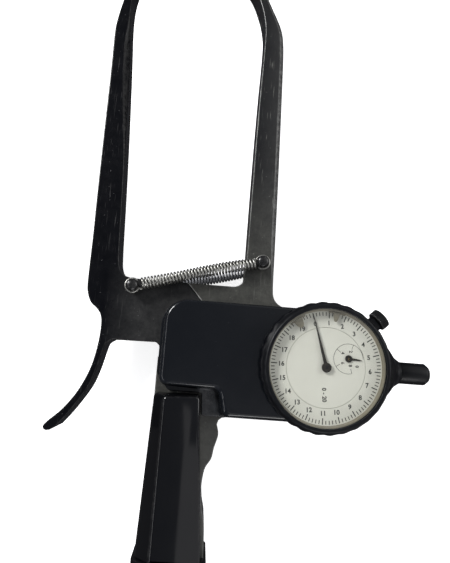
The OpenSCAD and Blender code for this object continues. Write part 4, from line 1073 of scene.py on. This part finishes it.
def build_pointers():
    rot = Matrix.Rotation(math.radians(ZERO), 4, "Z")
    place = GM @ rot
    z = ZD + 1.3
    hub = lathe([(0.61, z), (2.0, z), (2.15, z + 0.12), (2.15, z + 0.7), (2.0, z + 0.88), (1.7, z + 0.95), (1.0, z + 0.98), (0.8, z + 0.9), (0.61, z + 0.9)], 48,
                closed=True, place=place, edge=[0, 0, 0.4, 0.4, 1, 0.6, 0, 0.4, 0])
    blade = bmesh.new()
    side = [(-2.0, 0.5), (1.0, 1.0), (3.0, 0.74), (7, 0.60), (12, 0.46), (18, 0.30), (23, 0.17), (24.4, 0.09)]
    q = [(x, -w) for x, w in side] + [(x, w) for x, w in side[::-1]]
    q2 = [(x, -w * 0.55) for x, w in side] + [(x, w * 0.55) for x, w in side[::-1]]
    loops_mesh(blade, [at(q, z + 0.1), at(q, z + 0.28), at(q2, z + 0.4)], edge=[0, 1, 0])
    for v in blade.verts:
        v.co = (place @ (v.co * 1000)) * MM
    new_object("scale_pointer", join(hub, blade), M["pointer"], "main_hand", replaces=["main_pointer"])
    place = Matrix.Translation((C[0], C[1], 0)) @ Matrix.Rotation(math.radians(-3), 4, "Z")
    z = ZD + 0.9
    hub = lathe([(0.46, z), (1.5, z), (1.6, z + 0.08), (1.6, z + 0.3), (1.45, z + 0.4), (0.6, z + 0.42), (0.46, z + 0.35)], 40, closed=True, place=place,
                edge=[0, 0, 0.4, 1, 0.6, 0, 0])
    blade = bmesh.new()
    side = [(-1.6, 0.3), (0.8, 0.62), (3.0, 0.42), (4.4, 0.36), (6.0, 0.09)]
    q = [(x, -w) for x, w in side] + [(x, w) for x, w in side[::-1]]
    q2 = [(x, -w * 0.5) for x, w in side] + [(x, w * 0.5) for x, w in side[::-1]]
    loops_mesh(blade, [at(q, z + 0.04), at(q, z + 0.14), at(q2, z + 0.2)], edge=[0, 1, 0])
    for v in blade.verts:
        v.co = (place @ (v.co * 1000)) * MM
    new_object("count_pointer", join(hub, blade), M["pointer"], "counter_hand", replaces=["counter_pointer"])


build_pointers()


def build_marker(name, old, body, a, wide, long):
    """Limit marker: a curved foot under the rim with a tongue that reaches over the scale."""
    foot = arc((0, 0), 24.88, -9, 9, 24)
    tongue = []
    for i in range(33):
        t = i / 32
        b = 9 - 18 * t
        s = abs(b) / wide
        depth = long * math.sqrt(max(0.0, 1 - s ** 2.4)) if s < 1 else 0.0
        tongue.append(((24.2 - depth) * math.cos(math.radians(b)), (24.35 - depth) * math.sin(math.radians(b))))
    p = clean(foot + tongue, 0.02)
    z = ZD + 2.1
    loops = [at(inset(p, 0.05), z), at(p, z + 0.06), at(p, z + 0.26), at(inset(p, 0.06), z + 0.36), at(inset(p, 0.14), z + 0.4)]
    bm = bmesh.new()
    loops_mesh(bm, loops, edge=[0, 0.3, 0.6, 1, 0])
    place = GM @ Matrix.Rotation(math.radians(a), 4, "Z")
    for v in bm.verts:
        v.co = (place @ (v.co * 1000)) * MM
    new_object(name, bm, M["marker"], body, replaces=[old])


build_marker("left_limit_tongue", "low_limit_marker", "low_marker", 125, 4.9, 3.75)
build_marker("right_limit_tongue", "high_limit_marker", "high_marker", 82, 3.4, 3.7)


def build_knob():
    n = 36

    def knurl(a, rr, h):
        if rr < 4.4:
            return rr
        return rr - 0.22 * (0.5 + 0.5 * math.cos(n * a)) ** 1.5

    screw = [(0, 25), (1.5, 25), (1.5, 32.6)]
    prof = screw + [(4.2, 32.6), (4.5, 32.72), (4.7, 33.0), (4.7, 33.6), (4.7, 35.6), (4.7, 36.1), (4.5, 36.38), (4.2, 36.5), (3.4, 36.5), (3.2, 36.38), (0, 36.38)]
    edge = [0, 0, 0, 0, 1, 0.5, 0, 0, 0.5, 1, 0.5, 0.3, 0.5, 0]
    bm = lathe(prof, n * 8, place=along(42.9, 0, Z1 + 11.8), mod=knurl, edge=edge)
    new_object("clamp_knob_head", bm, M["knob"], "clamp_knob", replaces=["bezel_clamp_screw"], smooth=50)


build_knob()


def build_return_spring():
    rc, rw, turns = 2.85, 0.24, 7
    xa, xb = 103.56, 111.64
    pts = []
    steps = (turns + 2) * 24
    for k in range(steps + 1):
        n = k / 24
        # One closed turn at each end
        x = xa + 0.5 * min(n, 1) + 0.5 * max(n - turns - 1, 0) + (xb - xa - 1.0) * min(max((n - 1) / turns, 0), 1)
        pts.append((x, G[1] + rc * math.cos(2 * PI * n), ZS + rc * math.sin(2 * PI * n)))
    ob = new_object("spindle_return_spring", tube(pts, rw, 8), M["spring"], None, smooth=60)
    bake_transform(ob)
    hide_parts("spindle_spring")


build_return_spring()

# ------------------------------------------------------------------ finishes of the nodes that stay as they are
KEEP = {
    "pivot_bolt": "steel", "pivot_washer": "steel", "pivot_nut": "steel", "pivot_bush": "bronze", "gauge_cam": "steel", "cam_screws": "black_steel",
    "cover_screws": "black_steel", "grip_screws": "black_steel", "end_cap_screw": "steel", "stem_clamp": "steel", "stem_clamp_screws": "black_steel",
    "gauge_back": "case", "gauge_back_screws": "steel", "gauge_stem": "steel", "movement_rear_plate": "brass", "movement_front_plate": "brass",
    "spindle": "steel", "contact_tip": "steel", "centre_pinion": "black_steel", "counter_gear": "brass", "hairspring_gear": "brass",
    "hairspring": "steel",
}
for name, key in KEEP.items():
    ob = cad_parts[name]
    for s in ob.material_slots:
        s.material = M[key]
    if not ob.material_slots:
        ob.data.materials.append(M[key])

# ------------------------------------------------------------------ floor and light
bm = bmesh.new()
loops_mesh(bm, [at([(-w, -w), (w, -w), (w, w), (-w, w)], z) for w in [40000] for z in (-20.02, -0.02)])
me = bpy.data.meshes.new("floor")
bm.to_mesh(me)
bm.free()
floor = bpy.data.objects.new("floor", me)
SC.collection.objects.link(floor)
fm = bpy.data.materials.new("floor_pale")
fm.use_nodes = True
fb = fm.node_tree.nodes["Principled BSDF"]
ft = node(fm.node_tree, "ShaderNodeTexCoord").outputs["Object"]
fm.node_tree.links.new(mixc(fm.node_tree, noise(fm.node_tree, ft, 3, 4), (0.90, 0.90, 0.90), (0.92, 0.92, 0.92)), fb.inputs["Base Color"])
fb.inputs["Roughness"].default_value = 0.9
fb.inputs["Specular IOR Level"].default_value = 0.1
fb.inputs["Emission Color"].default_value = (1, 1, 1, 1)
fb.inputs["Emission Strength"].default_value = 0.80
me.materials.append(fm)
floor.visible_glossy = False
floor.visible_diffuse = False


def area(name, place, target, size, power, colour=(1, 1, 1), shape="RECTANGLE"):
    li = bpy.data.lights.new(name, "AREA")
    li.shape = shape
    li.size, li.size_y = size
    li.energy = power
    li.color = colour
    ob = bpy.data.objects.new(name, li)
    SC.collection.objects.link(ob)
    ob.location = Vector(place)
    ob.rotation_mode = "QUATERNION"
    ob.rotation_quaternion = (Vector(target) - Vector(place)).to_track_quat("-Z", "Y")
    return ob


area("key_left", (-1.154, 0.808, 0.951), (0, 0.02, 0.02), (0.5, 0.5), 31.0)
area("strip_left", (-1.15, -0.25, 1.10), (0, -0.05, 0.03), (1.3, 0.12), 3.0)
area("panel_right", (1.30, 0.40, 0.70), (0.04, 0.04, 0.02), (0.9, 0.7), 6.5)
area("fill_low", (0.35, -1.4, 0.75), (0, 0, 0.02), (0.9, 0.5), 7.0)

w = bpy.data.worlds.new("studio")
SC.world = w
w.use_nodes = True
nt = w.node_tree
bg = nt.nodes["Background"]
gen = node(nt, "ShaderNodeTexCoord").outputs["Generated"]
sep = node(nt, "ShaderNodeSeparateXYZ")
nt.links.new(gen, sep.inputs[0])
dx, dy = sep.outputs[0], sep.outputs[1]
right_up = mul(nt, remap(nt, dx, -0.02, 0.30, 0, 1), remap(nt, dy, 0.05, 0.30, 0, 1))
lean = node(nt, "ShaderNodeVectorMath", operation="DOT_PRODUCT")
nt.links.new(gen, lean.inputs[0])
lean.inputs[1].default_value = (1, 0.081, 0)
lean = lean.outputs["Value"]
low = mul(nt, remap(nt, lean, -0.0475, -0.0420, 0, 1), remap(nt, dy, -0.070, -0.079, 0, 1))
gap = mul(nt, remap(nt, lean, -0.022, -0.018, 0, 1), remap(nt, dy, -0.155, -0.140, 0, 1))
low = mul(nt, low, remap(nt, gap, 0, 1, 1, 0))
sky = mixc(nt, remap(nt, dx, -0.25, 0.25, 0, 1), (0.075, 0.082, 0.10), (0.21, 0.22, 0.24))
sky = mixc(nt, right_up, sky, (0.8, 0.8, 0.8))
sky = mixc(nt, low, sky, (0.58, 0.58, 0.60))
sky = mixc(nt, remap(nt, sep.outputs[2], -0.01, 0.10, 0, 1), (0.055, 0.055, 0.06), sky)
nt.links.new(sky, bg.inputs["Color"])
bg.inputs["Strength"].default_value = 1.0
